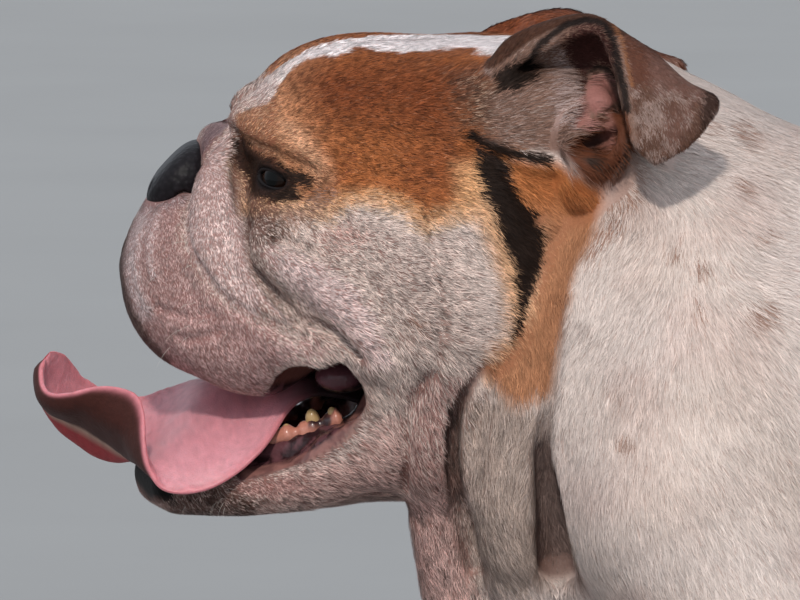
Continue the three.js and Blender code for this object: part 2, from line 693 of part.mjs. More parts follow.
// What grows from the head is trimmed to meet the skin across a gap.
const headPiece = headSolid();
const jawPiece = jawSolid();
const neckPiece = neckSolid();
const grownHead = skinIn(...HEAD_BOX, CELL.head, CLEAR).add(headPiece);
const grownJaw = skinIn(...JAW_BOX, CELL.jaw, CLEAR).add(jawPiece);
const grownNeck = skinIn(...NECK_BOX, CELL.neck, CLEAR).add(neckPiece);
const EARS = { left: { carriage: 1, forward: 0 }, right: { carriage: 0.75, forward: 9 } };
const earSolid = (side, held) =>
  largestOf(sheet(earNet(side, held), 10, 8, EAR_THICK, 2.4).subtract(grownHead).subtract(grownNeck));
function tongueSolid() {
  let made = sheet(TONGUE_NET, 20, 6, TONGUE_THICK, 4).subtract(grownHead).subtract(grownJaw);
  for (const tooth of lowerTeeth(GAP)) made = made.subtract(tooth);
  return largestOf(made);
}

const PARTS = [
  ["head", headPiece, LOOKS.tan],
  ["lower_jaw", jawPiece, LOOKS.pink],
  ["nose", noseSolid(), LOOKS.leather],
  ["tongue", tongueSolid(), LOOKS.tongue],
  ["eye_left", eyeBall(-1), LOOKS.eye],
  ["eye_right", eyeBall(1), LOOKS.eye],
  ["ear_left", earSolid(-1, EARS.left), LOOKS.tan],
  ["ear_right", earSolid(1, EARS.right), LOOKS.tan],
  ["neck", neckPiece, LOOKS.white],
  ["torso", torsoSolid(), LOOKS.white],
  ["tail", tailSolid(), LOOKS.white],
];
for (const [name, side] of [["left", -1], ["right", 1]]) {
  PARTS.push([`foreleg_${name}`, legSolid(FORE_BLOCK, side), LOOKS.white]);
  PARTS.push([`forepaw_${name}`, pawSolid(FORE_BLOCK, side, FOREPAW_X, FORELEG_SIDE, 1), LOOKS.white]);
  PARTS.push([`hindleg_${name}`, legSolid(HIND_BLOCK, side), LOOKS.white]);
  const hind = pawSolid(HIND_BLOCK, side, HINDPAW_X, HINDLEG_SIDE, HINDPAW_SIZE);
  PARTS.push([`hindpaw_${name}`, hind, LOOKS.white]);
}

const bulldog = new THREE.Group();
for (const [name, solid, look] of PARTS) {
  const material = new THREE.MeshStandardMaterial({ ...look, metalness: 0 });
  const mesh = new THREE.Mesh(geometryOf(solid), material);
  mesh.name = name;
  bulldog.add(mesh);
}

// The origin is on the floor under the middle of the animal's box.
const box = new THREE.Box3().setFromObject(bulldog);
bulldog.position.set(-(box.min.x + box.max.x) / 2, -(box.min.y + box.max.y) / 2, -box.min.z);

export default bulldog;
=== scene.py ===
import math

import bpy
import numpy as np
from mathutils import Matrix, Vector
from mathutils.bvhtree import BVHTree


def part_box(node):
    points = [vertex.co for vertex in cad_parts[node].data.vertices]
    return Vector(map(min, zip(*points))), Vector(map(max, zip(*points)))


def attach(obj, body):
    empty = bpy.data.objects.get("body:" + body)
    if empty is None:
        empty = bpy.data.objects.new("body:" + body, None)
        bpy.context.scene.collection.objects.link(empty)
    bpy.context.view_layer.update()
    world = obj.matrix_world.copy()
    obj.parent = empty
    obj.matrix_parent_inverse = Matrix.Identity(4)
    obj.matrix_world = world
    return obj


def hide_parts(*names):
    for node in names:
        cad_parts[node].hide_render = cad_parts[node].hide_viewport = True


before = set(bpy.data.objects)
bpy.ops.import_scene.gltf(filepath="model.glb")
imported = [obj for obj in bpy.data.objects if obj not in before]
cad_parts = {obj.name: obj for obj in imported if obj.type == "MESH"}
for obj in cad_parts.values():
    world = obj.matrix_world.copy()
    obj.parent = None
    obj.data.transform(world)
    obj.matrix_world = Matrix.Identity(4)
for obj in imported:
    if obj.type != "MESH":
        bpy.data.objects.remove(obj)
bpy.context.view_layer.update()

# The animal is described in millimetres: it faces -X, its left side is -Y, up is +Z.
MM = 0.001
GAP = 0.3
FORELEG_SIDE = 110
HINDLEG_SIDE = 86
FOREPAW_X = 116
HINDPAW_X = 430
HINDPAW_SIZE = 0.92
TAIL_CUT = 492
EYE_AT = np.array([-46.0, 48.0, 369.5])
EYE_RADIUS = 12.0
EYE_FACES = np.array([-0.6, 0.78, 0.12]) / np.linalg.norm([-0.6, 0.78, 0.12])
EAR_THICK = 4.0
TONGUE_THICK = 7.0

# The CAD frame is the same description, moved along X.
SHIFT = np.array([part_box("tail")[0].x / MM - (TAIL_CUT + GAP), 0.0, 0.0])

# The photograph's view: pixels of 0.42 mm in the plane of the head, seen a little from above.
PIXEL = 0.42
PHOTO_WIDE, PHOTO_HIGH = 800, 600
VIEW_TILT = math.radians(5.5)
VIEW_HEIGHT = 315.0
VIEW_DISTANCE = 5.0
VIEW_WIDTH = PHOTO_WIDE * PIXEL * MM
SENSOR = 36


def unit(rows, least=1e-9):
    """Rows as directions, each of length one."""
    return rows / np.maximum(np.linalg.norm(rows, axis=-1), least)[..., None]


def ramp(v, low, high):
    """Zero below the low end, one above the high end, and smooth between."""
    t = np.clip((v - low) / (high - low), 0, 1)
    return t * t * (3 - 2 * t)


def to_segment(p, a, b):
    """Distance from places to the line between two stops, and the share of the way along it."""
    u = b - a
    t = np.clip((p - a) @ u / (u @ u), 0, 1)
    return np.linalg.norm(p - a - t[:, None] * u, axis=1), t


# Forms give a distance in millimetres, below zero inside, and the box that holds them.
class Form:
    def __init__(self, measure, low, high):
        self.measure = measure
        self.low = np.array(low, float)
        self.high = np.array(high, float)

    def at(self, points):
        return self.measure(points)


def ball(centre, radii, pitch=0.0, turn=None):
    """An ellipsoid, tipped nose down by a pitch in degrees or turned by three axes."""
    centre = np.array(centre, float)
    radii = np.array(radii, float)
    if turn is None:
        c, s = math.cos(math.radians(pitch)), math.sin(math.radians(pitch))
        turn = np.array([[c, 0, s], [0, 1, 0], [-s, 0, c]])
    reach = radii.max()

    def measure(p):
        q = (p - centre) @ turn.T / radii
        near = np.linalg.norm(q, axis=1)
        steep = np.maximum(np.linalg.norm(q / radii, axis=1), 1e-9)
        return near * (near - 1) / steep

    return Form(measure, centre - reach, centre + reach)


def limb(stops):
    """A tapering round limb through stops, each a middle and a radius."""
    stops = np.array(stops, float)

    def measure(p):
        least = np.full(len(p), np.inf)
        for a, b in zip(stops[:-1], stops[1:]):
            d, t = to_segment(p, a[:3], b[:3])
            least = np.minimum(least, d - a[3] - t * (b[3] - a[3]))
        return least

    wide = stops[:, 3].max()
    return Form(measure, stops[:, :3].min(0) - wide, stops[:, :3].max(0) + wide)


def mirrored(p):
    return np.column_stack([p[:, 0], np.abs(p[:, 1]), p[:, 2]])


def pair(form):
    """The same form on both sides of the animal."""
    def measure(p):
        return form.at(mirrored(p))

    far = max(abs(form.low[1]), abs(form.high[1]))
    return Form(measure, [form.low[0], -far, form.low[2]], [form.high[0], far, form.high[2]])


JOIN_REACH = 26.0
CARVE_REACH = 6.0


def near_box(form, p, extra):
    """Which places stand in a form's box, made wider by this much."""
    return np.all((p > form.low - extra) & (p < form.high + extra), axis=1)


def flowed(d, e, blend):
    """The lesser of two distances, flowed together over the blend width."""
    h = np.maximum(blend - np.abs(d - e), 0) / blend
    return np.minimum(d, e) - h * h * blend / 4


def join(first, *rest):
    """Forms flowed into the first one, each over its own blend width."""
    def measure(p):
        d = first.at(p)
        for blend, form in rest:
            m = near_box(form, p, blend + JOIN_REACH)
            if m.any():
                d[m] = flowed(d[m], form.at(p[m]), blend)
        return d

    forms = [first] + [f for _, f in rest]
    return Form(measure, np.min([f.low for f in forms], 0), np.max([f.high for f in forms], 0))


def carve(first, *rest):
    """Forms taken out of the first one, with the edge rounded over the blend width."""
    def measure(p):
        d = first.at(p)
        for blend, form in rest:
            m = near_box(form, p, blend + CARVE_REACH)
            if m.any():
                d[m] = -flowed(-d[m], form.at(p[m]), blend)
        return d

    return Form(measure, first.low, first.high)


# Skull: a broad flat top, two brow domes with a furrow between, temples and cheeks.
cranium = ball([22, 0, 374], [88, 72, 53])
brow_dome = pair(ball([-20, 29, 389], [45, 33, 35]))
temple = pair(ball([38, 44, 380], [52, 36, 43]))
occiput = ball([74, 0, 384], [42, 62, 42])
cheek = pair(ball([20, 63, 322], [56, 37, 56]))
under_eye = pair(ball([-36, 52, 341], [36, 30, 32]))
brow_ridge = pair(limb([[-62, 34, 392, 10], [-50, 51, 386, 9], [-34, 60, 379, 9]]))
furrow = limb([[-74, 0, 404, 7], [-44, 0, 433, 7], [30, 0, 440, 8]])
lid_bulge = pair(ball(EYE_AT, [13, 13.5, 12.5]))

# Muzzle: short, with hanging upper lips, and a fold over the nose down to the corner of the mouth.
muzzle_core = ball([-64, 0, 345], [36, 45, 33])
lip_front = pair(ball([-83, 26, 323], [33, 29, 38], 22))
lip_side = pair(ball([-58, 45, 309], [36, 26, 30]))
lip_corner = pair(limb([[-50, 58, 304, 16], [-28, 64, 312, 13]]))
nose_fold = pair(limb([
    [-76, 2, 380, 10],
    [-71, 24, 377, 12],
    [-75, 41, 358, 13],
    [-75, 52, 340, 13],
    [-67, 60, 323, 12],
    [-52, 66, 309, 11],
    [-34, 72, 299, 9],
]))
muzzle_pad = pair(limb([[-99, 12, 352, 9.5], [-103, 13, 343, 10], [-105, 15, 332, 11.5]]))
philtrum = limb([[-124, 0, 345, 4], [-118, 0, 310, 4], [-104, 0, 282, 5]])

# Lower jaw: a broad undershot chin, lips that climb to the corner of the mouth, and its floor.
jaw_bone = pair(limb([
    [-98, 0, 242, 14],
    [-92, 22, 240, 13],
    [-66, 42, 239, 10.5],
    [-40, 52, 243, 11.5],
    [-14, 58, 258, 17],
    [12, 58, 270, 22],
]))
jaw_floor = ball([-50, 0, 239], [52, 42, 12])
lower_lip = pair(limb([[-36, 58, 248, 5], [-18, 66, 270, 8], [-6, 70, 290, 10]]))
gum_ridge = pair(limb([[-88, 18, 250, 6], [-64, 36, 253, 6], [-44, 44, 257, 6], [-26, 48, 264, 7]]))
jaw_angle = pair(ball([20, 50, 268], [40, 32, 34]))
throat = ball([14, 0, 264], [44, 46, 34])
mouth = ball([-52, 0, 269], [50, 44, 17])
mouth_corner = pair(ball([-30, 60, 284], [22, 22, 15]))

# Neck: very thick, with two hanging folds of skin on each side from the jaw to the chest.
neck_core = ball([92, 0, 330], [64, 88, 90])
nape = ball([132, 0, 316], [62, 100, 81])
front_fold = pair(limb([
    [14, 62, 300, 13],
    [17, 54, 262, 14],
    [18, 42, 228, 15],
    [24, 30, 198, 16],
    [42, 18, 168, 18],
]))
rear_fold = pair(limb([
    [92, 80, 352, 16],
    [72, 86, 318, 18],
    [58, 80, 280, 19],
    [50, 68, 244, 19],
    [52, 52, 210, 18],
    [66, 34, 178, 20],
]))
ear_base = pair(ball([64, 62, 388], [32, 20, 28]))
ear_rim = pair(carve(
    join(ball([79, 80, 387], [17, 14, 19]), (5, ball([77, 80, 372], [13, 12, 14]))),
    (3, ball([80, 88, 395], [12, 14, 15])),
))

# Trunk: a deep broad chest slung between the forelegs, a rising loin and a narrower rump.
ribs = ball([206, 0, 262], [148, 130, 124])
fore_chest = ball([92, 0, 220], [46, 66, 60])
shoulder = pair(ball([132, 84, 260], [68, 54, 90]))
loin = ball([322, 0, 302], [112, 98, 93])
rump = ball([408, 0, 300], [78, 88, 84])
thigh = pair(ball([412, 60, 258], [58, 42, 80]))
tail_form = limb([
    [466, 0, 338, 24],
    [494, 0, 322, 17],
    [512, 1, 298, 12],
    [517, 4, 274, 8],
    [516, 6, 256, 5],
])
foreleg = limb([
    [122, FORELEG_SIDE - 6, 236, 40],
    [148, FORELEG_SIDE + 4, 190, 37],
    [145, FORELEG_SIDE + 7, 150, 34],
    [137, FORELEG_SIDE + 5, 105, 30],
    [132, FORELEG_SIDE, 62, 28],
    [127, FORELEG_SIDE, 42, 28],
])
hindleg = limb([
    [408, HINDLEG_SIDE - 16, 262, 48],
    [382, HINDLEG_SIDE + 3, 206, 41],
    [412, HINDLEG_SIDE, 160, 31],
    [450, HINDLEG_SIDE - 4, 116, 23],
    [456, HINDLEG_SIDE - 5, 96, 21],
    [446, HINDLEG_SIDE - 3, 60, 20],
    [438, HINDLEG_SIDE, 40, 22],
])

# A paw of four toes round a broad pad, under a pastern at x and side.
TOES = (-1.5, -0.5, 0.5, 1.5)
TOE_APART = 15.5


def toe_reach(k):
    """How far a toe stands before the pastern; the middle ones reach further."""
    return 30 - 4.5 * abs(k)


def paw(x, side, size):
    toes = []
    for k in TOES:
        middle = [x - toe_reach(k) * size, side + TOE_APART * k * size, 14]
        toes.append((4 * size, ball(middle, [21 * size, 9.5 * size, 19 * size])))
    return join(ball([x, side, 18], [35 * size, 34 * size, 27 * size]), *toes)


forepaw = paw(FOREPAW_X, FORELEG_SIDE, 1)
hindpaw = paw(HINDPAW_X, HINDLEG_SIDE, HINDPAW_SIZE)

head = carve(
    join(
        cranium,
        (18, brow_dome),
        (18, temple),
        (18, occiput),
        (22, cheek),
        (18, under_eye),
        (9, brow_ridge),
        (14, muzzle_core),
        (12, lip_front),
        (8, muzzle_pad),
        (12, lip_side),
        (10, lip_corner),
        (7, nose_fold),
        (6, lid_bulge),
        (14, ear_base),
    ),
    (10, furrow),
    (5, philtrum),
)
jaw = join(jaw_bone, (10, jaw_floor), (8, lower_lip), (4, gum_ridge))
head_and_jaw = carve(
    join(head, (16, jaw_angle), (16, throat), (12, jaw)),
    (6, mouth),
    (6, mouth_corner),
)
trunk = join(
    ribs,
    (30, fore_chest),
    (30, shoulder),
    (40, loin),
    (40, rump),
    (26, thigh),
    (14, tail_form),
)
legs = join(pair(foreleg), (20, pair(hindleg)), (14, pair(forepaw)), (14, pair(hindpaw)))
neck = join(neck_core, (30, nape))
plain_skin = join(
    head_and_jaw, (14, neck), (9, front_fold), (10, rear_fold), (26, trunk), (20, legs), (4, ear_rim)
)


# Folds drawn on the side of the head, as photograph pixels, laid on the plain skin.
def side_view(p):
    """Where a point shows in the photograph's plane, in millimetres, for either side of the animal."""
    up = (p[:, 2] - VIEW_HEIGHT) * math.cos(VIEW_TILT) - np.abs(p[:, 1]) * math.sin(VIEW_TILT)
    return np.column_stack([p[:, 0], VIEW_HEIGHT + up])


def from_pixels(outline):
    """Pixels of the photograph as places in its plane, in millimetres."""
    right, down = np.array(outline, float).T
    across = (right - PHOTO_WIDE / 2) * PIXEL
    return np.column_stack([across, VIEW_HEIGHT + (PHOTO_HIGH / 2 - down) * PIXEL])


def slope_of(form, p, h=0.1):
    """The outward unit direction of a form's surface."""
    g = np.column_stack([
        form.at(p + h * axis) - form.at(p - h * axis) for axis in np.eye(3)
    ])
    return unit(g)


def laid_on(form, pixels):
    """The outermost places on the right side of a form that show at these pixels, and their normals."""
    flat = from_pixels(pixels)
    sides = np.arange(150.0, -1.0, -1.0)
    up = (flat[:, 1:] - VIEW_HEIGHT + sides * math.sin(VIEW_TILT)) / math.cos(VIEW_TILT)
    x = np.repeat(flat[:, :1], len(sides), 1)
    y = np.repeat(sides[None, :], len(flat), 0)
    grid = np.stack([x, y, VIEW_HEIGHT + up], 2)
    d = form.at(grid.reshape(-1, 3)).reshape(len(flat), -1)
    first = np.argmax(d < 0, axis=1)
    rows = np.arange(len(flat))
    a, b = d[rows, first - 1], d[rows, first]
    t = (a / (a - b))[:, None]
    p = grid[rows, first - 1] * (1 - t) + grid[rows, first] * t
    return p, slope_of(form, p)


def tube_on_skin(pixels, radius, depth, side):
    """A tube along pixels of the plain skin, on its inner or outer side, that passes it by a depth."""
    p, n = laid_on(plain_skin, pixels)
    centre = p + side * n * (radius - depth)
    return pair(limb(np.column_stack([centre, np.full(len(p), radius)])))


def ridge(pixels, radius, proud):
    return tube_on_skin(pixels, radius, proud, -1)


def groove(pixels, radius, depth):
    return tube_on_skin(pixels, radius, depth, 1)


def slit(stops):
    """A deep narrow gap from stops of pixel, radius and depth: tubes one behind another."""
    stops = np.array(stops, float)
    p, _ = laid_on(plain_skin, stops[:, :2])
    layers = []
    for share in (0.0, 0.33, 0.66, 1.0):
        centre = p - [0, 1, 0] * (stops[:, 3:] * share)
        layers.append((2, limb(np.column_stack([centre, stops[:, 2]]))))
    return pair(join(layers[0][1], *layers[1:]))


# Pixels of the photograph along each fold of the face and neck.
FOLD_BEHIND_NOSE = [(233, 136), (238, 158), (241, 180), (243, 205), (246, 228), (251, 252)]
FOLD_RIDGE = [(243, 264), (254, 288), (271, 307), (291, 324), (316, 337)]
FOLD_SLIT = [(251, 256), (262, 278), (279, 300), (296, 318), (331, 330), (362, 352)]
POUCH_RIDGE = [(266, 250), (292, 265), (320, 284), (345, 308), (363, 334), (377, 360)]
LINE_UNDER_EYE = [(280, 239), (296, 245), (312, 252), (326, 262)]
ROLL_EDGE = [
    (226, 132), (210, 148), (200, 166), (193, 182), (188, 202), (185, 222), (187, 242), (194, 258),
    (204, 273), (214, 287), (228, 301), (244, 310), (262, 320), (284, 329), (306, 336),
]
PAD_LINE_HIGH = [(160, 308), (175, 314), (195, 316), (212, 311)]
PAD_LINE_LOW = [(175, 335), (190, 340), (210, 335), (222, 330)]
PAD_RING = [(190, 195), (175, 200), (162, 208), (156, 222), (153, 240), (152, 260), (155, 274)]
PAD_RING_OUTER = [(150, 215), (140, 240), (138, 265), (142, 290), (150, 305)]
BROW_LINE = [(240, 140), (262, 152), (288, 163), (312, 174)]
BROW_RIDGE = [(252, 128), (280, 136), (306, 152), (322, 172)]
CHEEK_LINE = [(420, 208), (426, 240), (434, 275), (441, 310), (440, 355)]
CHEEK_RIDGE = [(352, 200), (386, 232), (412, 270), (424, 310), (420, 350)]
JAW_FOLD = [(428, 372), (411, 396), (404, 425), (401, 460), (401, 490)]
FRONT_GAP = [
    (478, 368, 1.2, 1), (464, 388, 1.8, 3), (455, 405, 2.1, 6), (451, 430, 2.3, 9), (451, 460, 2.3, 9),
    (455, 485, 2, 6), (460, 505, 1.5, 3), (466, 540, 1.5, 3), (474, 565, 2, 3),
]
REAR_GAP = [
    (556, 300, 1.2, 0.6), (553, 350, 1.2, 1), (546, 400, 1.6, 2), (541, 430, 2, 4), (540, 450, 2.6, 7),
    (543, 475, 3.8, 10), (547, 500, 5, 12), (551, 530, 6.5, 12), (555, 560, 7.5, 10),
]
REAR_FOLD_FULL = [(508, 395), (500, 430), (497, 470), (497, 510), (502, 545)]
EAR_RIDGE = [(462, 138), (490, 152), (520, 162), (552, 168)]
UNDER_EAR_LINE = [(474, 150), (500, 168), (520, 196), (534, 216)]

LIP_BULGE = ball([-24, 53, 288], [12, 9, 7.5])
EAR_LOBE = ridge([(598, 108), (597, 94), (599, 84)], 6.5, 3.6)
EAR_BURR = ridge([
    (566, 150), (572, 138), (585, 131), (601, 132), (612, 124), (619, 132), (618, 150), (608, 163),
    (592, 168), (576, 163), (567, 154),
], 4.2, 3.4)
EAR_ARC = ridge([(594, 122), (600, 114), (610, 109), (618, 113), (622, 124)], 3, 3)
EAR_DROP = ridge([(582, 158), (588, 168), (584, 174)], 7.5, 4)
EAR_HOLE = groove([(582, 149), (590, 145), (598, 140)], 2.6, 5)

skin_folds = carve(
    join(
        plain_skin,
        (3, pair(LIP_BULGE)),
        (4, EAR_LOBE),
        (2, EAR_BURR),
        (2, EAR_ARC),
        (5, EAR_DROP),
        (2, ridge(FOLD_RIDGE, 3.5, 1.6)),
        (5, ridge(POUCH_RIDGE, 11, 4)),
        (1.5, ridge(PAD_RING, 3, 0.9)),
        (1.5, ridge(PAD_RING_OUTER, 3, 0.6)),
        (4, ridge(BROW_RIDGE, 7, 1.6)),
        (6, ridge(CHEEK_RIDGE, 10, 1.6)),
        (3, ridge(EAR_RIDGE, 5, 1.6)),
        (8, ridge(REAR_FOLD_FULL, 17, 3.5)),
    ),
    (3, groove(FOLD_BEHIND_NOSE, 3, 4.6)),
    (2.5, groove(FOLD_SLIT, 2.6, 4.2)),
    (2.5, groove(LINE_UNDER_EYE, 2.2, 1.2)),
    (2, groove(PAD_LINE_HIGH, 1.6, 1.2)),
    (2, groove(PAD_LINE_LOW, 1.8, 1.2)),
    (2.5, groove(ROLL_EDGE, 2.6, 2.4)),
    (3, groove(BROW_LINE, 2.6, 2)),
    (3, groove(CHEEK_LINE, 3, 0.8)),
    (3, groove(JAW_FOLD, 2.4, 2.6)),
    (3, slit(FRONT_GAP)),
    (3, slit(REAR_GAP)),
    (4, groove(UNDER_EAR_LINE, 3, 2)),
    (1.5, EAR_HOLE),
)


# The opening of the lids: an almond, longest towards the corners of the eye.
EYE_TILT = math.radians(15)
LID_WIDE, LID_HIGH = 8.2, 3.3


def eye_axes(side):
    """Across, over and out: the outer corner of the eye sits a little lower than the inner one."""
    out = EYE_FACES * [1, side, 1]
    across = np.cross([0, 0, 1.0], out)
    across /= np.linalg.norm(across)
    over = np.cross(out, across)
    c, s = math.cos(EYE_TILT), math.sin(EYE_TILT) * side
    return np.array([c * across + s * over, c * over - s * across, out])


def lid_opening(side):
    axes = eye_axes(side)
    return ball(EYE_AT * [1, side, 1] + 12.0 * axes[2], [LID_WIDE, LID_HIGH, 8], turn=axes)


# Ears: hoods from the skull over a crest to the hanging edge, in rows from the root to the tip.
EAR_ROWS = [
    [[38, 52, 396], [35, 56, 404], [34, 60, 412], [35, 64, 412], [36, 67, 407]],
    [[54, 50, 398], [48, 56, 415], [47, 61, 428], [50, 67, 429], [52, 71, 423]],
    [[76, 54, 398], [76, 59, 418], [75, 67, 435], [77, 77, 439], [79, 83, 435]],
    [[98, 60, 390], [101, 68, 408], [101, 82, 425], [95, 92, 428], [88, 95, 423]],
    [[106, 72, 384], [114, 82, 399], [117, 96, 413], [108, 104, 413], [93, 106, 404]],
    [[107, 86, 384], [119, 94, 394], [129, 101, 407], [119, 108, 399], [97, 112, 391]],
    [[107, 94, 384], [116, 99, 390], [125, 105, 399], [116, 110, 390], [104, 112, 384]],
]
EAR_LEVEL = 404
LEFT_CARRIAGE, LEFT_FORWARD = 1.0, 0.0
RIGHT_CARRIAGE, RIGHT_FORWARD = 0.75, 9.0
EAR_STEP = 1.25
CORNERS = np.array([[i & 1, i >> 1 & 1, i >> 2 & 1] for i in range(8)])


def spline(rows, count):
    """Points along smooth curves through rows, the first axis running along the curves."""
    rows = np.array(rows, float)
    t = np.linspace(0, len(rows) - 1, count)
    i = np.clip(t.astype(int), 0, len(rows) - 2)
    f = (t - i)[(...,) + (None,) * (rows.ndim - 1)]
    ext = np.concatenate([2 * rows[:1] - rows[1:2], rows, 2 * rows[-1:] - rows[-2:-1]])
    a, b, c, d = ext[i], ext[i + 1], ext[i + 2], ext[i + 3]
    return 0.5 * (2 * b + (c - a) * f + (2 * a - 5 * b + 4 * c - d) * f**2 + (3 * b - a - 3 * c + d) * f**3)


def net(rows, along, across):
    """A smooth sheet of points through rows of stops."""
    long_way = spline(rows, along)
    return np.swapaxes(spline(np.swapaxes(long_way, 0, 1), across), 0, 1)


def net_faces(along, across):
    i, j = np.meshgrid(np.arange(along - 1), np.arange(across - 1), indexing="ij")
    a = (i * across + j).ravel()
    return np.column_stack([a, a + 1, a + across + 1, a + across])


def ear_rows(side, carriage, forward):
    rows = np.array(EAR_ROWS, float)
    rows[..., 0] -= forward
    z = rows[..., 2]
    rows[..., 2] = np.where(z > EAR_LEVEL, EAR_LEVEL + (z - EAR_LEVEL) * carriage, z)
    rows[..., 1] *= side
    return rows


def ear_form(side, carriage, forward):
    """An ear as its distance, kept on a fine grid so that it is quick to look up."""
    grid = net(ear_rows(side, carriage, forward), 60, 44)
    flat = grid.reshape(-1, 3)
    tree = BVHTree.FromPolygons(flat.tolist(), net_faces(60, 44).tolist())
    low, high = flat.min(0) - 8, flat.max(0) + 8
    shape = np.ceil((high - low) / EAR_STEP).astype(int) + 1
    held = np.full(shape, 9.0)
    for index in np.ndindex(*shape):
        hit = tree.find_nearest(low + np.array(index) * EAR_STEP, 7.0)
        if hit[3] is not None:
            held[index] = hit[3]

    def measure(p):
        out = np.full(len(p), 9.0)
        near = np.flatnonzero(np.all((p > low) & (p < high), axis=1))
        q = np.clip((p[near] - low) / EAR_STEP, 0, shape - 1.001)
        cell = q.astype(int)
        f = q - cell
        d = np.zeros(len(near))
        for c in CORNERS:
            k = cell + c
            d += held[k[:, 0], k[:, 1], k[:, 2]] * np.prod(np.where(c, f, 1 - f), axis=1)
        out[near] = d - EAR_THICK / 2
        return out

    return Form(measure, flat.min(0) - 2, flat.max(0) + 2)


ear_left_form = ear_form(-1, LEFT_CARRIAGE, LEFT_FORWARD)
ear_right_form = ear_form(1, RIGHT_CARRIAGE, RIGHT_FORWARD)


EAR_REACH = 6.0
EAR_BLEND = 4.0


def with_ear(first, ear):
    """A form with an ear flowed into it, measured only close to the ear."""
    def measure(p):
        d = first.at(p)
        m = near_box(ear, p, EAR_REACH)
        if m.any():
            d[m] = flowed(d[m], ear.at(p[m]), EAR_BLEND)
        return d

    return Form(measure, first.low, first.high)


NOSE_LEAN = -43
NOSE_FACE = np.array([-0.735, 0, 0.68])
NOSE_FACE_AT = 326
nose_face = Form(lambda p: NOSE_FACE_AT - p @ NOSE_FACE, [-200, -60, 300], [0, 60, 450])
nose_form = carve(
    join(
        ball([-90, 0, 366.4], [15, 25, 18], NOSE_LEAN),
        (5, pair(ball([-92, 12, 366], [13, 14, 16], NOSE_LEAN))),
    ),
    (6, nose_face),
    (2, pair(limb([[-112, 9, 366, 3.6], [-98, 13, 362, 3.4]]))),
    (2, pair(limb([[-104, 12, 362, 2.6], [-90, 25, 361, 2.2]]))),
    (1.5, limb([[-118, 0, 372, 1.2], [-104, 0, 346, 1.2]])),
)

lid_left, lid_right = lid_opening(-1), lid_opening(1)
open_lids = carve(skin_folds, (1.5, lid_left), (1.5, lid_right))
whole_skin = with_ear(with_ear(open_lids, ear_left_form), ear_right_form)


def hair_depth(p):
    """How deep the hair lies over the skin, in millimetres."""
    body = ramp(p[:, 0], 20, 130)
    low = ramp(-p[:, 2], -210, -150)
    face = 0.4 + 0.5 * ramp(p[:, 0], -60, 10)
    ears = np.minimum(ear_left_form.at(p), ear_right_form.at(p))
    return np.maximum(face, 2.2 * body) * (1 - 0.4 * low) * (0.12 + 0.88 * ramp(ears, 0.5, 4.5))


skin_surface = Form(lambda p: whole_skin.at(p) + hair_depth(p), whole_skin.low, whole_skin.high)


# Surface of a form on a grid of planes, which may stand closer where detail is needed.
def planes(stops):
    """Plane positions from (place, spacing) stops, the spacing easing from stop to stop."""
    out = [stops[0][0]]
    while out[-1] < stops[-1][0]:
        out.append(out[-1] + np.interp(out[-1], [s[0] for s in stops], [s[1] for s in stops]))
    return np.array(out)


COARSE = 6
FAR = 50.0


def values_on(form, axes, band):
    """A form's distance on the grid, measured near its surface only and FAR elsewhere."""
    n = [len(a) for a in axes]
    value = np.full(n, FAR, np.float32)
    picks = [np.unique(np.append(np.arange(0, k, COARSE), k - 1)) for k in n]
    mesh = np.meshgrid(*[a[p] for a, p in zip(axes, picks)], indexing="ij")
    rough = form.at(np.column_stack([m.ravel() for m in mesh])).reshape(mesh[0].shape)
    keep = np.zeros(n, bool)
    inside = np.zeros(n, bool)
    for corner in np.ndindex(*(len(p) - 1 for p in picks)):
        block = rough[tuple(slice(c, c + 2) for c in corner)]
        lo = [picks[a][corner[a]] for a in range(3)]
        hi = [picks[a][corner[a] + 1] for a in range(3)]
        size = max(axes[a][hi[a]] - axes[a][lo[a]] for a in range(3))
        box = tuple(slice(lo[a], hi[a] + 1) for a in range(3))
        if np.abs(block).min() < band + size * 1.2 or (block.min() < 0 < block.max()):
            keep[box] = True
        elif block.max() < 0:
            inside[box] = True
    value[inside & ~keep] = -FAR
    index = np.nonzero(keep)
    value[index] = form.at(np.column_stack([axes[a][index[a]] for a in range(3)]))
    for a in range(3):
        edge = [slice(None)] * 3
        for end in (0, -1):
            edge[a] = end
            value[tuple(edge)] = np.maximum(value[tuple(edge)], 0.5)
    return value


def cell_spots(value, cell, axes):
    """A place for each cell that the surface crosses: the middle of the crossings on its edges."""
    corner_value = [value[tuple(cell + c[:, None])] for c in CORNERS]
    corner_place = [np.column_stack([axes[a][cell[a] + c[a]] for a in range(3)]) for c in CORNERS]
    total = np.zeros((cell.shape[1], 3))
    crossings = np.zeros(cell.shape[1])
    for p in range(8):
        for q in (p | 1, p | 2, p | 4):
            if q == p:
                continue
            vp, vq = corner_value[p], corner_value[q]
            m = (vp < 0) != (vq < 0)
            t = (vp[m] / (vp[m] - vq[m]))[:, None]
            total[m] += corner_place[p][m] * (1 - t) + corner_place[q][m] * t
            crossings[m] += 1
    return total / crossings[:, None]


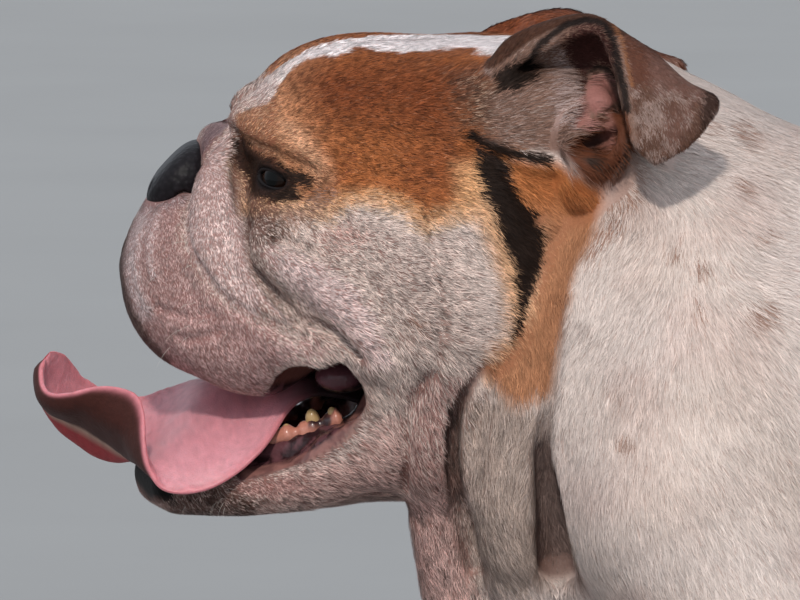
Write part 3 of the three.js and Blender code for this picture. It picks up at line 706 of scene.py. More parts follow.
def cell_quads(neg, number):
    """A quad of the four cells around each edge of the grid that the surface crosses."""
    n = neg.shape
    quads = []
    for a in range(3):
        b, c = (a + 1) % 3, (a + 2) % 3
        first = [slice(None)] * 3
        second = [slice(None)] * 3
        first[a], second[a] = slice(0, n[a] - 1), slice(1, n[a])
        edge = np.array(np.nonzero(neg[tuple(first)] != neg[tuple(second)]))
        ok = (edge[b] > 0) & (edge[c] > 0) & (edge[b] < n[b] - 1) & (edge[c] < n[c] - 1)
        edge = edge[:, ok]
        step_b, step_c = np.zeros((3, 1), int), np.zeros((3, 1), int)
        step_b[b], step_c[c] = 1, 1
        ring = [edge - step_b - step_c, edge - step_c, edge, edge - step_b]
        ring = np.column_stack([number[tuple(r)] for r in ring])
        quads.append(np.where(neg[tuple(edge)][:, None], ring, ring[:, ::-1]))
    return np.concatenate(quads)


def surface_of(form, axes, band):
    """The surface of a form as points and quads."""
    value = values_on(form, axes, band)
    neg = value < 0
    low_corners = [tuple(slice(c[a], neg.shape[a] - 1 + c[a]) for a in range(3)) for c in CORNERS]
    count = sum(neg[box].astype(np.int8) for box in low_corners)
    cell = np.array(np.nonzero((count > 0) & (count < 8)))
    number = np.full(count.shape, -1, np.int64)
    number[tuple(cell)] = np.arange(cell.shape[1])
    return cell_spots(value, cell, axes), cell_quads(neg, number)


SETTLE_TIMES = 2


def settle(form, spots, reach):
    """Points moved onto the surface that they stand near."""
    h = 0.15
    for _ in range(SETTLE_TIMES):
        d = form.at(spots)
        g = np.column_stack([form.at(spots + h * axis) - d for axis in np.eye(3)]) / h
        steep = np.maximum(np.sum(g * g, axis=1), 0.1)
        move = -d / steep
        move = np.clip(move * np.sqrt(steep), -reach, reach) / np.sqrt(steep)
        spots = spots + g * move[:, None]
    return spots


FINE = 1.7
axes = [
    planes([(-126, FINE), (112, FINE), (190, 3.6), (540, 5.0)]),
    planes([(-158, 2.6), (-110, FINE), (110, FINE), (158, 2.6)]),
    planes([(-12, 3.2), (150, 4.0), (215, FINE), (452, FINE)]),
]
spots, quads = surface_of(skin_surface, axes, 3.0)
spots = settle(skin_surface, spots, 1.2)
spots[:, 2] = np.maximum(spots[:, 2], 0.15)


# Meshes are built in metres in the frame's place.
def to_scene(points):
    return (points + SHIFT) * MM


def mesh_piece(name, points, faces):
    """An object of smooth faces, from points in the animal's own millimetres."""
    sides = faces.shape[1]
    mesh = bpy.data.meshes.new(name)
    mesh.vertices.add(len(points))
    mesh.vertices.foreach_set("co", to_scene(points).astype(np.float32).ravel())
    mesh.loops.add(faces.size)
    mesh.loops.foreach_set("vertex_index", faces.astype(np.int32).ravel())
    mesh.polygons.add(len(faces))
    mesh.polygons.foreach_set("loop_start", np.arange(0, faces.size, sides, dtype=np.int32))
    mesh.polygons.foreach_set("loop_total", np.full(len(faces), sides, np.int32))
    mesh.update(calc_edges=True)
    mesh.validate()
    mesh.shade_smooth()
    piece = bpy.data.objects.new(name, mesh)
    bpy.context.scene.collection.objects.link(piece)
    return piece


def paint_points(piece, colours):
    layer = piece.data.color_attributes.new("paint", "FLOAT_COLOR", "POINT")
    rgba = np.column_stack([colours, np.ones(len(colours))])
    layer.data.foreach_set("color", rgba.astype(np.float32).ravel())


def noise(p, size, seed):
    """Smooth noise that is the same every time, between 0 and 1."""
    q = p / size + seed * 17.13
    cell = np.floor(q).astype(np.int64)
    f = q - cell
    f = f * f * (3 - 2 * f)
    total = np.zeros(len(p))
    for c in CORNERS:
        k = cell + c
        h = (k[:, 0] * 73856093) ^ (k[:, 1] * 19349663) ^ (k[:, 2] * 83492791) ^ (seed * 2654435)
        h = (h ^ (h >> 13)) * 1274126177
        v = ((h ^ (h >> 16)) & 0xFFFF) / 65535.0
        total += v * np.prod(np.where(c, f, 1 - f), axis=1)
    return total


# Markings: outlines in photograph pixels, read from the side, with soft ragged edges.
AWAY = 20.0


def close_to(flat, stops):
    return np.flatnonzero(np.all((flat > stops.min(0) - AWAY) & (flat < stops.max(0) + AWAY), axis=1))


def inside_outline(flat, outline):
    """Distance in millimetres to an outline, above zero inside it."""
    corners = from_pixels(outline)
    out = np.full(len(flat), -AWAY)
    near = close_to(flat, corners)
    q = flat[near]
    away = np.full(len(near), AWAY * 9)
    odd = np.zeros(len(near), bool)
    for a, b in zip(corners, np.roll(corners, -1, axis=0)):
        away = np.minimum(away, to_segment(q, a, b)[0])
        with np.errstate(divide="ignore", invalid="ignore"):
            cross = a[0] + (q[:, 1] - a[1]) / (b[1] - a[1]) * (b[0] - a[0])
        odd ^= ((a[1] > q[:, 1]) != (b[1] > q[:, 1])) & (q[:, 0] < cross)
    out[near] = np.where(odd, away, -away)
    return out


def along_line(flat, line):
    """Distance in millimetres to a line drawn in pixels."""
    stops = from_pixels(line)
    out = np.full(len(flat), AWAY)
    near = close_to(flat, stops)
    q = flat[near]
    for a, b in zip(stops[:-1], stops[1:]):
        out[near] = np.minimum(out[near], to_segment(q, a, b)[0])
    return out


def tint(red, green, blue):
    return np.array([red, green, blue])


WHITE = tint(0.75, 0.64, 0.59)
FACE_WHITE = tint(0.66, 0.52, 0.46)
ROLL_WHITE = tint(0.73, 0.57, 0.54)
CREAM = tint(0.66, 0.48, 0.35)
PINK = tint(0.58, 0.36, 0.31)
PAD = tint(0.49, 0.33, 0.31)
PAD_LOW = tint(0.62, 0.41, 0.385)
PAD_PALE = tint(0.74, 0.63, 0.62)
GREY_BROWN = tint(0.29, 0.175, 0.135)
TAN = tint(0.40, 0.130, 0.043)
RUST = tint(0.195, 0.050, 0.017)
CAP_DARK = tint(0.135, 0.065, 0.044)
GOLD = tint(0.72, 0.39, 0.19)
BROW = tint(0.80, 0.46, 0.28)
ORANGE = tint(0.56, 0.20, 0.068)
PEACH = tint(0.45, 0.205, 0.105)
DARK = tint(0.018, 0.010, 0.007)
BLACK = tint(0.008, 0.006, 0.006)
FOLD_RED = tint(0.46, 0.265, 0.235)
# The jaw's own pink, made lighter as painted light where the jaw faces down and away from the sun.
JAW_ROSE_LIT = tint(0.66, 0.44, 0.39)
# The white blaze, painted brighter than its own white as painted light where the sun falls on the top of the
# head.
BLAZE_WHITE_LIT = tint(0.95, 0.87, 0.86)
FOLD_TAN = tint(0.52, 0.40, 0.34)
# Painted shade for the depths of creases and gaps.
CREASE_SHADE = tint(0.13, 0.065, 0.052)
LIP = tint(0.075, 0.032, 0.038)
LIP_BROWN = tint(0.20, 0.085, 0.070)
LIP_RIM = tint(0.33, 0.165, 0.145)
GUM = tint(0.60, 0.24, 0.17)

# Outlines of the markings, and of some painted light and shade, in pixels of the photograph.
TAN_CAP = [
    (236, 118), (250, 112), (266, 104), (284, 82), (302, 62), (350, 53), (400, 56), (450, 51), (480, 58),
    (500, 66), (524, 90), (524, 150), (500, 168), (478, 184), (466, 200), (448, 216), (424, 226),
    (404, 218), (384, 208), (362, 202), (344, 204), (326, 212), (300, 210), (270, 212), (248, 210),
    (240, 180),
]
RUST_HEART = [
    (296, 84), (322, 66), (380, 60), (440, 62), (476, 78), (462, 120), (440, 150), (412, 140), (380, 130),
    (340, 128), (312, 116),
]
RUST_LOW = [(396, 150), (440, 150), (462, 164), (452, 190), (430, 200), (404, 188)]
CAP_GREY = [(448, 84), (480, 80), (520, 100), (530, 150), (490, 146), (456, 128)]
BROW_PALE = [(284, 128), (304, 138), (322, 160), (328, 182), (312, 180), (300, 162), (288, 146)]
BLACK_PATCH = [
    (468, 148), (484, 151), (505, 164), (506, 185), (520, 203), (536, 216), (539, 240), (537, 262),
    (530, 290), (520, 315), (511, 336), (503, 344), (506, 318), (508, 290), (504, 260), (496, 235),
    (488, 212), (478, 195), (470, 175),
]
BLACK_FOLD = [(464, 138), (480, 145), (500, 152), (520, 158), (540, 162)]
GOLD_FRINGE = [
    (448, 168), (470, 160), (545, 190), (548, 300), (524, 350), (484, 372), (480, 356), (498, 330),
    (494, 290), (484, 250), (470, 222), (452, 204),
]
EAR_BAND = [
    (496, 154), (552, 164), (600, 190), (596, 228), (575, 262), (564, 300), (556, 350), (550, 384),
    (520, 396), (490, 380), (480, 366), (505, 342), (526, 312), (536, 270), (532, 230), (504, 200),
    (496, 176),
]
NECK_MAUVE = [(598, 160), (640, 160), (640, 200), (618, 232), (590, 262), (580, 250), (600, 215)]
NOSE_SHADE = [(136, 190), (165, 194), (192, 190), (186, 206), (160, 210), (140, 214)]
NOSE_LOBE = [(198, 150), (202, 133), (212, 122), (231, 122), (226, 132), (212, 146), (202, 162)]
# Dark skin round the eye, with painted shade from the brow.
EYE_DARK_AND_SHADE = [
    (230, 138), (247, 140), (257, 152), (268, 158), (284, 165), (300, 170), (312, 180), (308, 190),
    (298, 189), (299, 200), (284, 205), (264, 203), (254, 192), (248, 180), (240, 172), (234, 160),
]
EYE_MAUVE = [(240, 168), (250, 174), (260, 186), (266, 202), (250, 208), (243, 192)]
EYE_CORNER = [(286, 188), (298, 188), (296, 200), (286, 202)]
UNDER_EYE = [
    (244, 192), (262, 202), (300, 202), (316, 188), (332, 188), (332, 202), (308, 222), (290, 232),
    (266, 238), (248, 226),
]
CHEEK_PINK = [(316, 214), (352, 216), (372, 236), (352, 252), (322, 246)]
FACE_GREY = [(240, 230), (300, 236), (360, 250), (420, 250), (430, 330), (400, 350), (340, 300), (280, 260)]
MUZZLE = [
    (130, 200), (188, 196), (186, 240), (210, 290), (250, 320), (300, 345), (262, 400), (180, 380),
    (110, 300),
]
MUZZLE_LOW = [
    (150, 306), (210, 300), (260, 326), (330, 345), (290, 372), (240, 392), (180, 372), (150, 340),
]
MUZZLE_EDGE = [(148, 208), (138, 236), (134, 262), (137, 288), (147, 312)]
LIP_STRIPE = [(139, 200), (127, 225), (121, 252), (121, 276), (129, 308), (146, 338), (166, 360)]
NOSE_ROLL = [
    (230, 128), (212, 146), (200, 168), (193, 190), (187, 215), (188, 242), (196, 260), (210, 280),
    (228, 300), (258, 316), (262, 300), (252, 272), (246, 235), (242, 205), (239, 175), (234, 142),
]
POUCH = [
    (262, 244), (290, 250), (320, 264), (352, 286), (374, 322), (392, 362), (372, 366), (350, 338),
    (328, 318), (300, 296), (272, 268),
]
FACE_CORNER = [
    (243, 204), (262, 206), (290, 226), (284, 244), (262, 250), (270, 276), (254, 268), (244, 236),
]
NECK_SHADE = [(690, 250), (740, 230), (790, 270), (800, 380), (740, 420), (700, 380), (680, 310)]
FOLD_LIGHT = [(250, 278), (268, 302), (290, 320)]
CHIN_BLACK = [(124, 446), (150, 452), (158, 474), (172, 488), (176, 500), (150, 498), (130, 480)]
CHIN_GREY = [(160, 488), (250, 484), (262, 500), (250, 524), (170, 522)]
CHIN_PINK = [(236, 480), (300, 472), (308, 486), (270, 494), (240, 493)]
JAW_PINK = [
    (262, 482), (310, 462), (348, 446), (372, 410), (400, 396), (408, 440), (404, 480), (380, 494),
    (320, 500), (264, 502),
]
FRONT_FOLD_PINK = [
    (402, 380), (432, 366), (470, 374), (450, 400), (446, 450), (452, 490), (466, 540), (480, 600),
    (436, 610), (416, 560), (402, 500),
]
# Painted light: the lower front fold is lightened where the jaw's shadow falls on it.
FRONT_FOLD_LIT = [(398, 492), (452, 488), (470, 560), (484, 612), (428, 616), (408, 560)]
REAR_FOLD_TAN = [
    (470, 390), (500, 384), (548, 400), (534, 440), (536, 500), (548, 560), (520, 590), (478, 570),
    (460, 510), (455, 440),
]
MOUTH_INSIDE = [
    (236, 470), (262, 440), (290, 405), (262, 396), (280, 372), (300, 354), (330, 345), (356, 347),
    (370, 358), (376, 378), (372, 402), (356, 428), (332, 448), (300, 462), (264, 474), (240, 480),
]
UPPER_LIP = [(270, 385), (283, 370), (300, 358), (318, 348), (345, 348), (335, 360), (318, 370), (300, 378)]
MOUTH_CORNER = [(322, 384), (350, 386), (372, 374), (374, 398), (358, 418), (334, 424), (322, 405)]
MOUTH_RING = [(336, 346), (358, 350), (372, 364), (377, 380), (373, 396)]
LIP_EDGE = [(246, 473), (290, 463), (320, 450), (345, 430), (358, 415), (368, 396)]
BULGE = [
    (316, 370), (324, 360), (338, 357), (352, 359), (364, 363), (368, 372), (363, 381), (350, 386),
    (338, 390), (326, 387), (318, 380),
]
FOLLICLES = [(420, 208), (424, 235), (428, 258), (434, 272), (438, 300), (442, 330), (440, 360)]
BROWN_SPOTS = [
    (730, 130, 16), (700, 128, 8), (727, 185, 7), (748, 236, 9), (692, 262, 9), (745, 310, 13),
    (690, 304, 7), (612, 386, 9), (620, 432, 6), (672, 250, 5), (410, 322, 8),
]
BODY_PATCHES = [([205, -118, 178], 50), ([300, -60, 380], 62), ([250, 110, 320], 58), ([430, 60, 330], 60)]

# Marks of the face and neck, some of them painted light or shade, from the broad to the fine.
# Each has an outline, how soft and how ragged its edge is, a colour and the share of hairs.
FACE_MARKS = [
    (FACE_GREY, 10, 4, GREY_BROWN, 0.20),
    (CHEEK_PINK, 9, 4, PINK, 0.60),
    (MUZZLE, 8, 4, PAD, 0.95),
    (MUZZLE_LOW, 12, 5, PAD_LOW, 0.80),
    (NOSE_ROLL, 2.5, 1, ROLL_WHITE, 0.90),
    (POUCH, 6, 2, tint(0.80, 0.62, 0.59), 0.85),
    # Pink of the jaw, with painted light on its downward face.
    (JAW_PINK, 6, 3, JAW_ROSE_LIT, 0.70),
    (FRONT_FOLD_PINK, 5, 3, FOLD_RED, 0.60),
    # Painted light over the jaw's shadow on the lower front fold.
    (FRONT_FOLD_LIT, 6, 3, tint(0.86, 0.58, 0.52), 0.80),
    (REAR_FOLD_TAN, 6, 3, FOLD_TAN, 0.80),
    (NECK_MAUVE, 8, 3, GREY_BROWN * 1.4, 0.55),
    (NECK_SHADE, 18, 8, GREY_BROWN * 1.6, 0.42),
]
LATE_MARKS = [
    (UNDER_EYE, 6, 4, tint(0.33, 0.19, 0.14), 0.65),
    (FACE_CORNER, 4, 4, DARK * 4, 0.42),
    (EYE_MAUVE, 4, 2, GREY_BROWN * 0.8, 0.80),
    (EYE_CORNER, 2, 1, GREY_BROWN * 0.8, 0.90),
    # Dark skin round the eye, with painted shade from the brow.
    (EYE_DARK_AND_SHADE, 2.6, 3.5, DARK * 1.5, 0.93),
    (NOSE_SHADE, 2.5, 1, tint(0.42, 0.31, 0.31), 0.70),
    (NOSE_LOBE, 2, 1, tint(0.30, 0.20, 0.21), 0.90),
    (CHIN_GREY, 4, 4, DARK * 3, 0.60),
    (CHIN_PINK, 3, 2, FOLD_RED, 0.85),
    (CHIN_BLACK, 2, 1, BLACK, 1.0),
]

EAR_FACE = [
    (486, 96), (488, 62), (505, 48), (540, 24), (566, 14), (594, 14), (610, 28), (618, 70), (624, 100),
    (630, 140), (620, 180), (590, 196), (562, 158), (520, 152), (470, 140), (460, 110),
]
EAR_CREAM = [(538, 78), (550, 50), (564, 50), (572, 80), (574, 118), (566, 136), (548, 130), (540, 104)]
EAR_PINK_SKIN = [(568, 100), (578, 94), (585, 110), (584, 130), (574, 136), (567, 120)]
EAR_DEEP = [
    (556, 44), (574, 30), (596, 32), (608, 56), (611, 84), (604, 72), (592, 68), (584, 80), (580, 104),
    (570, 92), (564, 70),
]
# Painted shadow under the ear's roll.
EAR_ROLL_SHADOW = [(486, 86), (498, 74), (520, 64), (531, 68), (527, 86), (508, 98), (489, 98)]
EAR_TALL_LOBE = [
    (585, 84), (592, 77), (600, 78), (606, 86), (613, 98), (614, 106), (604, 112), (594, 118), (586, 112),
    (583, 98),
]
EAR_BURR_PART = [
    (560, 158), (564, 142), (582, 132), (598, 114), (620, 110), (625, 134), (618, 164), (600, 192),
    (582, 195), (564, 182),
]
EAR_BURR_PINK = [(595, 118), (606, 113), (612, 130), (610, 148), (598, 151)]
EAR_NOTCH = [(581, 143), (592, 138), (599, 144), (590, 152)]
EAR_GAP = [(578, 161), (592, 158), (602, 164), (588, 170)]
EAR_MARKS = [
    (EAR_CREAM, 4, 3, tint(0.50, 0.37, 0.34), 0.60),
    (EAR_PINK_SKIN, 2, 1, tint(0.46, 0.22, 0.19), 0.90),
    (EAR_DEEP, 5, 1, tint(0.055, 0.018, 0.015), 0.97),
    # Painted shadow under the ear's roll.
    (EAR_ROLL_SHADOW, 3, 1, DARK, 0.97),
    (EAR_BURR_PART, 1.5, 0.5, tint(0.135, 0.046, 0.022), 1.0),
    (EAR_BURR_PINK, 1.5, 0.5, tint(0.34, 0.16, 0.13), 0.90),
    (EAR_TALL_LOBE, 1.2, 0.5, tint(0.44, 0.21, 0.185), 1.0),
    (EAR_NOTCH, 1, 0.3, BLACK, 1.0),
    (EAR_GAP, 1, 0.3, DARK * 2, 0.90),
]
EAR_ROLL = [
    (486, 64), (505, 49), (520, 37), (540, 26), (560, 19), (580, 15), (592, 16), (602, 21), (610, 30),
]
# Painted shadow along the inside of the ear's roll.
EAR_INNER_SHADOW = [
    (522, 70), (535, 50), (550, 38), (562, 30), (580, 26), (596, 30), (604, 42), (609, 58), (613, 76),
    (618, 95), (621, 112),
]
EAR_LIT = [(604, 26), (610, 38), (615, 52), (620, 70), (625, 88)]
EAR_ARCH = [(584, 76), (592, 70), (601, 71), (608, 80)]
EAR_THREAD = [(596, 120), (607, 110), (620, 111)]
# Lines drawn on the ear: line, half width in millimetres, colour.
EAR_LINES = [
    (EAR_ROLL, 5.0, tint(0.070, 0.027, 0.015)),
    # The black inner line is painted shadow under the roll.
    (EAR_INNER_SHADOW, 1.6, BLACK),
    (EAR_ARCH, 1.2, DARK),
    (EAR_THREAD, 0.7, DARK),
]
FLAP_TOP = [(598, 10), (620, 24), (640, 44), (668, 66), (664, 84), (640, 88), (622, 96), (614, 60)]
FLAP_MIDDLE = [(640, 60), (664, 66), (690, 78), (712, 96), (700, 106), (672, 98), (644, 96)]
FLAP_TIP = [(694, 86), (716, 98), (706, 116), (690, 136), (692, 112)]
FLAP_BROWN = [(656, 104), (684, 104), (684, 134), (668, 156), (654, 146)]
FLAP_MARKS = [
    (FLAP_TOP, 5, 4, tint(0.125, 0.048, 0.030), 0.92),
    (FLAP_MIDDLE, 4, 3, tint(0.17, 0.085, 0.066), 0.80),
    (FLAP_BROWN, 5, 4, tint(0.16, 0.078, 0.058), 0.75),
    (FLAP_TIP, 3, 2, tint(0.050, 0.026, 0.020), 0.85),
]
SPLIT = 0.4


def mix(colour, other, share):
    """One colour or a colour for each place, taken this far towards another."""
    return colour + (other - colour) * share[:, None]


def likely(chance, share):
    """How far a hair takes a colour which this share of the hairs have; no chance means bare skin."""
    if chance is None:
        return share
    return np.clip((share * (1 + SPLIT) - chance) / SPLIT, 0, 1)


def patches(flat, wobble=0.0):
    """A function for how far places lie inside an outline, over a soft edge that may be ragged."""
    def patch(outline, soft, ragged=3.0):
        return ramp(inside_outline(flat, outline) + ragged * wobble, -soft, soft)

    return patch


def with_marks(colour, marks, flat, wobble, chance, over=1.0):
    patch = patches(flat, wobble)
    for outline, soft, ragged, paint, share in marks:
        colour = mix(colour, paint, likely(chance, share * patch(outline, soft, ragged) * over))
    return colour


def ear_colour(p, normal, flat, chance, wobble):
    """The colour of the ear's sheet: its hairy back, its pink cup and its dark rim, with painted shadow
    under the rim and a painted lit edge.
    """
    right = p[:, 1] > 0
    dark_hairs = likely(chance, 0.30 + 0.55 * ramp(noise(p, 5, 52), 0.25, 0.75))
    back = mix(tint(0.31, 0.215, 0.185), CAP_DARK * 0.9, dark_hairs)
    back = with_marks(back, FLAP_MARKS, flat, wobble, chance)
    back = mix(back, RUST * 1.1, 0.85 * right * ramp(-p[:, 1], -120, -70))
    cup = mix(tint(0.24, 0.135, 0.10), FACE_WHITE * 0.75, likely(chance, np.full(len(p), 0.20)))
    cup = with_marks(cup, EAR_MARKS, flat, wobble, chance)
    facing = -normal[:, 1] * np.sign(-p[:, 1])
    inner = ramp(facing, -0.15, 0.25) * ramp(inside_outline(flat, EAR_FACE) + 0.5 * wobble, -1.5, 1.5)
    colour = mix(back, cup, inner)
    drawn = np.where(right, inner, 1)
    for line, half, paint in EAR_LINES:
        colour = mix(colour, paint, 0.92 * drawn * ramp(half + 0.6 - along_line(flat, line), 0, 1.6))
    lit = ramp(1.2 - along_line(flat, EAR_LIT), 0, 1)
    return mix(colour, tint(0.27, 0.11, 0.05), 0.8 * lit * drawn)


def cap_marks(colour, p, flat, wobble, chance):
    """The tan cap with its rust heart and golden lower edge, and the white blaze that it leaves."""
    x, z = p[:, 0], p[:, 2]
    patch = patches(flat, wobble)
    on_head = ramp(-x, -100, -80)
    d = inside_outline(flat, TAN_CAP) + 4.0 * wobble
    low = ramp(-z, -392, -374)
    far = ramp(p[:, 1] - 13 + 5 * wobble, -2, 2) * ramp(z, 402, 410) * ramp(x, -66, -54)
    tan = np.maximum(ramp(d, -1.5 - 3 * low, 1.5 + 7 * low), far) * on_head
    rim = ramp(d, -9, 1) * low * on_head
    brown = mix(TAN, BROW, 0.45 * ramp(-x, 22, 60))
    brown = mix(brown, RUST, 0.90 * patch(RUST_HEART, 14, 6))
    brown = mix(brown, RUST * 1.3, 0.60 * patch(RUST_LOW, 12, 5))
    brown = mix(brown, CAP_DARK, 0.85 * patch(CAP_GREY, 10, 6))
    brown = mix(brown, GOLD, 0.75 * ramp(-d, -9, -1) * low)
    brown = mix(brown, BROW, 0.85 * patch(BROW_PALE, 6))
    other = None if chance is None else 1 - chance
    brown = mix(brown, DARK * 4, 0.8 * likely(other, 0.10 + 0.35 * patch(CAP_GREY, 12)))
    pale = 0.06 + 0.20 * patch(CAP_GREY, 10) + 0.30 * ramp(-x, 44, 62)
    brown = mix(brown, CREAM * 0.9, 0.75 * likely(chance, pale))
    colour = mix(colour, mix(CREAM, GOLD, ramp(d, -6, 2)), 0.75 * likely(chance, rim))
    return mix(colour, brown, likely(chance, tan))


def coat_colour(p, normal, chance):
    """The colour of the coat or bare skin at places on the animal, given a chance for each hair."""
    flat = side_view(p)
    wobble = noise(p, 9.0, 1) - 0.5 + 0.5 * (noise(p, 3.5, 2) - 0.5)
    left = p[:, 1] < 0
    x, side, z = p[:, 0], np.abs(p[:, 1]), p[:, 2]
    on_head = ramp(-x, -118, -92)
    face = ramp(-x, -75, -15)
    patch = patches(flat, wobble)

    def line(pixels, half, soft):
        return ramp(half - along_line(flat, pixels), -soft, soft)

    colour = mix(WHITE, CREAM, 0.18 * noise(p, 30, 4))
    colour = mix(colour, PINK, 0.18 * ramp(noise(p, 22, 5), 0.45, 0.8))
    colour = mix(colour, FACE_WHITE, 0.85 * face * ramp(-z, -412, -400))
    # The white blaze on top of the head, partly its own white and partly painted light from above.
    colour = mix(colour, BLAZE_WHITE_LIT, ramp(z, 398, 408) * ramp(-x, -60, -40) * (1 - 0.6 * ramp(-x, 38, 54)))
    colour = with_marks(colour, FACE_MARKS, flat, wobble, chance, on_head)
    fold = ramp(-x, -34, -20) * ramp(-z, -270, -240)
    colour = mix(colour, FOLD_RED, 0.4 * fold)
    colour = mix(colour, PAD_PALE, 0.75 * line(PAD_RING, 1.3, 1.4) + 0.2 * line(PAD_RING_OUTER, 1.2, 1.4))
    colour = mix(colour, PAD_PALE, 0.9 * line(MUZZLE_EDGE, 2.8, 2.5))
    colour = mix(colour, ROLL_WHITE, 0.7 * line(FOLD_LIGHT, 1.0, 1.0))
    colour = cap_marks(colour, p, flat, wobble, chance)
    colour = mix(colour, GOLD, 0.85 * patch(GOLD_FRINGE, 5.5, 2.0) * on_head)
    band = patch(EAR_BAND, 3.5, 2.0) * on_head
    colour = mix(colour, mix(ORANGE, PEACH, ramp(-z, -372, -352)), band)
    black = np.maximum(patch(BLACK_PATCH, 3.6, 3.0), line(BLACK_FOLD, 1.8, 1.6)) * on_head
    colour = mix(colour, DARK, likely(chance, black))
    colour = with_marks(colour, LATE_MARKS, flat, wobble, chance, on_head)
    colour = mix(colour, DARK * 3, 0.80 * line(LIP_STRIPE, 2.2, 1.8) * on_head)
    speck = ramp(noise(p, 2.2, 3), 0.62, 0.75) * ramp(-z, -250, -235) * face
    colour = mix(colour, DARK, 0.5 * speck)
    dots = line(FOLLICLES, 1.4, 0.8) * ramp(noise(p, 1.5, 7), 0.58, 0.68)
    colour = mix(colour, DARK * 2, 0.7 * dots * left)
    for px, py, r in BROWN_SPOTS:
        spot = from_pixels([(px, py)])[0]
        d = r * PIXEL - np.linalg.norm(flat - spot, axis=1) + 4.0 * wobble
        colour = mix(colour, GREY_BROWN * 1.3, likely(chance, 0.55 * ramp(d, -4, 4) * left))
    for centre, r in BODY_PATCHES:
        d = r - np.linalg.norm(p - np.array(centre), axis=1) + 14 * wobble
        colour = mix(colour, mix(TAN, RUST, 0.4 * noise(p, 40, 8)), likely(chance, ramp(d, -4, 5)))
    ear = on_ears(p)
    cup_near = patch(EAR_FACE, 2, 1) * ramp(x, 30, 40) * ramp(side, 40, 55) * ramp(z, 368, 374)
    ear_share = np.maximum(ear, cup_near)
    m = ear_share > 0
    if m.any():
        luck_there = None if chance is None else chance[m]
        ears = ear_colour(p[m], normal[m], flat[m], luck_there, wobble[m])
        colour[m] = mix(colour[m], ears, ear_share[m])
    # Painted shade: places sunk below the plain skin, in creases and gaps, are darkened by how deep they
    # lie.
    near = np.flatnonzero((x < 95) & (ear < 0.5))
    sunk_shade = ramp(-plain_skin.at(p[near]) - hair_depth(p[near]), 1.2, 5.5)
    colour[near] = mix(colour[near], CREASE_SHADE, 0.80 * sunk_shade)
    return paint_bare(colour, p, flat)


def paint_bare(colour, p, flat):
    """Lips, the lining of the mouth and the lids."""
    patch = patches(flat)
    wet = mouth_wet(p, flat)
    lining = mix(LIP * 0.45, LIP * 1.9, ramp(noise(p, 3, 61), 0.50, 0.62))
    colour = mix(colour, lining, wet)
    colour = mix(colour, LIP_BROWN, 0.9 * patch(UPPER_LIP, 1.5) * wet)
    colour = mix(colour, BLACK, patch(MOUTH_CORNER, 1.5) * wet)
    ring = ramp(1.6 - along_line(flat, MOUTH_RING), -0.8, 0.8) * (np.abs(p[:, 1]) < 80)
    colour = mix(colour, BLACK * 2, ring)
    rim = ramp(1.9 - along_line(flat, LIP_EDGE), -0.6, 0.6)
    edge = mix(LIP_RIM, LIP, 0.5 * ramp(noise(p, 3, 62), 0.5, 0.7))
    colour = mix(colour, edge, rim * wet)
    colour = mix(colour, LIP * [1.6, 1.4, 1.5], patch(BULGE, 0.8) * wet)
    lid = 1 - ramp(np.minimum(np.abs(lid_left.at(p)), np.abs(lid_right.at(p))), 0.8, 2.8)
    return mix(colour, BLACK, lid)


def mouth_wet(p, flat):
    """One over the lips and inside the mouth."""
    wet = patches(flat)(MOUTH_INSIDE, 0.8) * ramp(-np.abs(p[:, 1]), -76, -72)
    return np.maximum(wet, ramp(2.5 - np.abs(mouth_form.at(p)), 0, 2))


def on_ears(p):
    """One on the sheet of either ear."""
    return 1 - ramp(np.minimum(ear_left_form.at(p), ear_right_form.at(p)), 0.8, 3.0)


mouth_form = join(mouth, (4, mouth_corner))


def vertex_normals(points, faces):
    a, b, c, d = (points[faces[:, k]] for k in range(4))
    n = np.cross(c - a, d - b)
    out = np.column_stack([
        sum(np.bincount(faces[:, k], n[:, axis], len(points)) for k in range(4)) for axis in range(3)
    ])
    return unit(out)


skin_normals = vertex_normals(spots, quads)
skin_colour = coat_colour(spots, skin_normals, None)


def skin_tint(p):
    """How much darker the skin is than the hair over it: most on the face, least on the body."""
    body = np.maximum(ramp(p[:, 0], -10, 70), mouth_wet(p, side_view(p)))[:, None]
    return tint(0.55, 0.40, 0.38) * (1 - body) + tint(0.90, 0.82, 0.80) * body


skin = mesh_piece("skin", spots, quads)
paint_points(skin, skin_colour * skin_tint(spots))
FLESH = [
    "head", "lower_jaw", "neck", "torso", "tail", "ear_left", "ear_right", "foreleg_left", "foreleg_right",
    "hindleg_left", "hindleg_right", "forepaw_left", "forepaw_right", "hindpaw_left", "hindpaw_right",
]
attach(skin, "root")
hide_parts(*FLESH)


# Materials.
def set_inputs(node, values):
    for key, value in values.items():
        node.inputs[key].default_value = value


def material(name, roughness, specular):
    made = bpy.data.materials.new(name)
    made.use_nodes = True
    shader = made.node_tree.nodes["Principled BSDF"]
    set_inputs(shader, {"Roughness": roughness, "Specular IOR Level": specular})
    return made, made.node_tree, shader


def add(tree, kind, inputs, **settings):
    node = tree.nodes.new(kind)
    set_inputs(node, inputs)
    for key, value in settings.items():
        setattr(node, key, value)
    return node


def grain_of(tree, kind, inputs, **settings):
    """A texture node that reads the place in the object's own frame."""
    node = add(tree, kind, inputs, **settings)
    tree.links.new(add(tree, "ShaderNodeTexCoord", {}).outputs["Object"], node.inputs["Vector"])
    return node


def noise_node(tree, scale):
    return grain_of(tree, "ShaderNodeTexNoise", {"Scale": scale, "Detail": 4.0})


def bump(tree, shader, height, strength, distance):
    node = add(tree, "ShaderNodeBump", {"Strength": strength, "Distance": distance})
    tree.links.new(height, node.inputs["Height"])
    tree.links.new(node.outputs["Normal"], shader.inputs["Normal"])
    return node


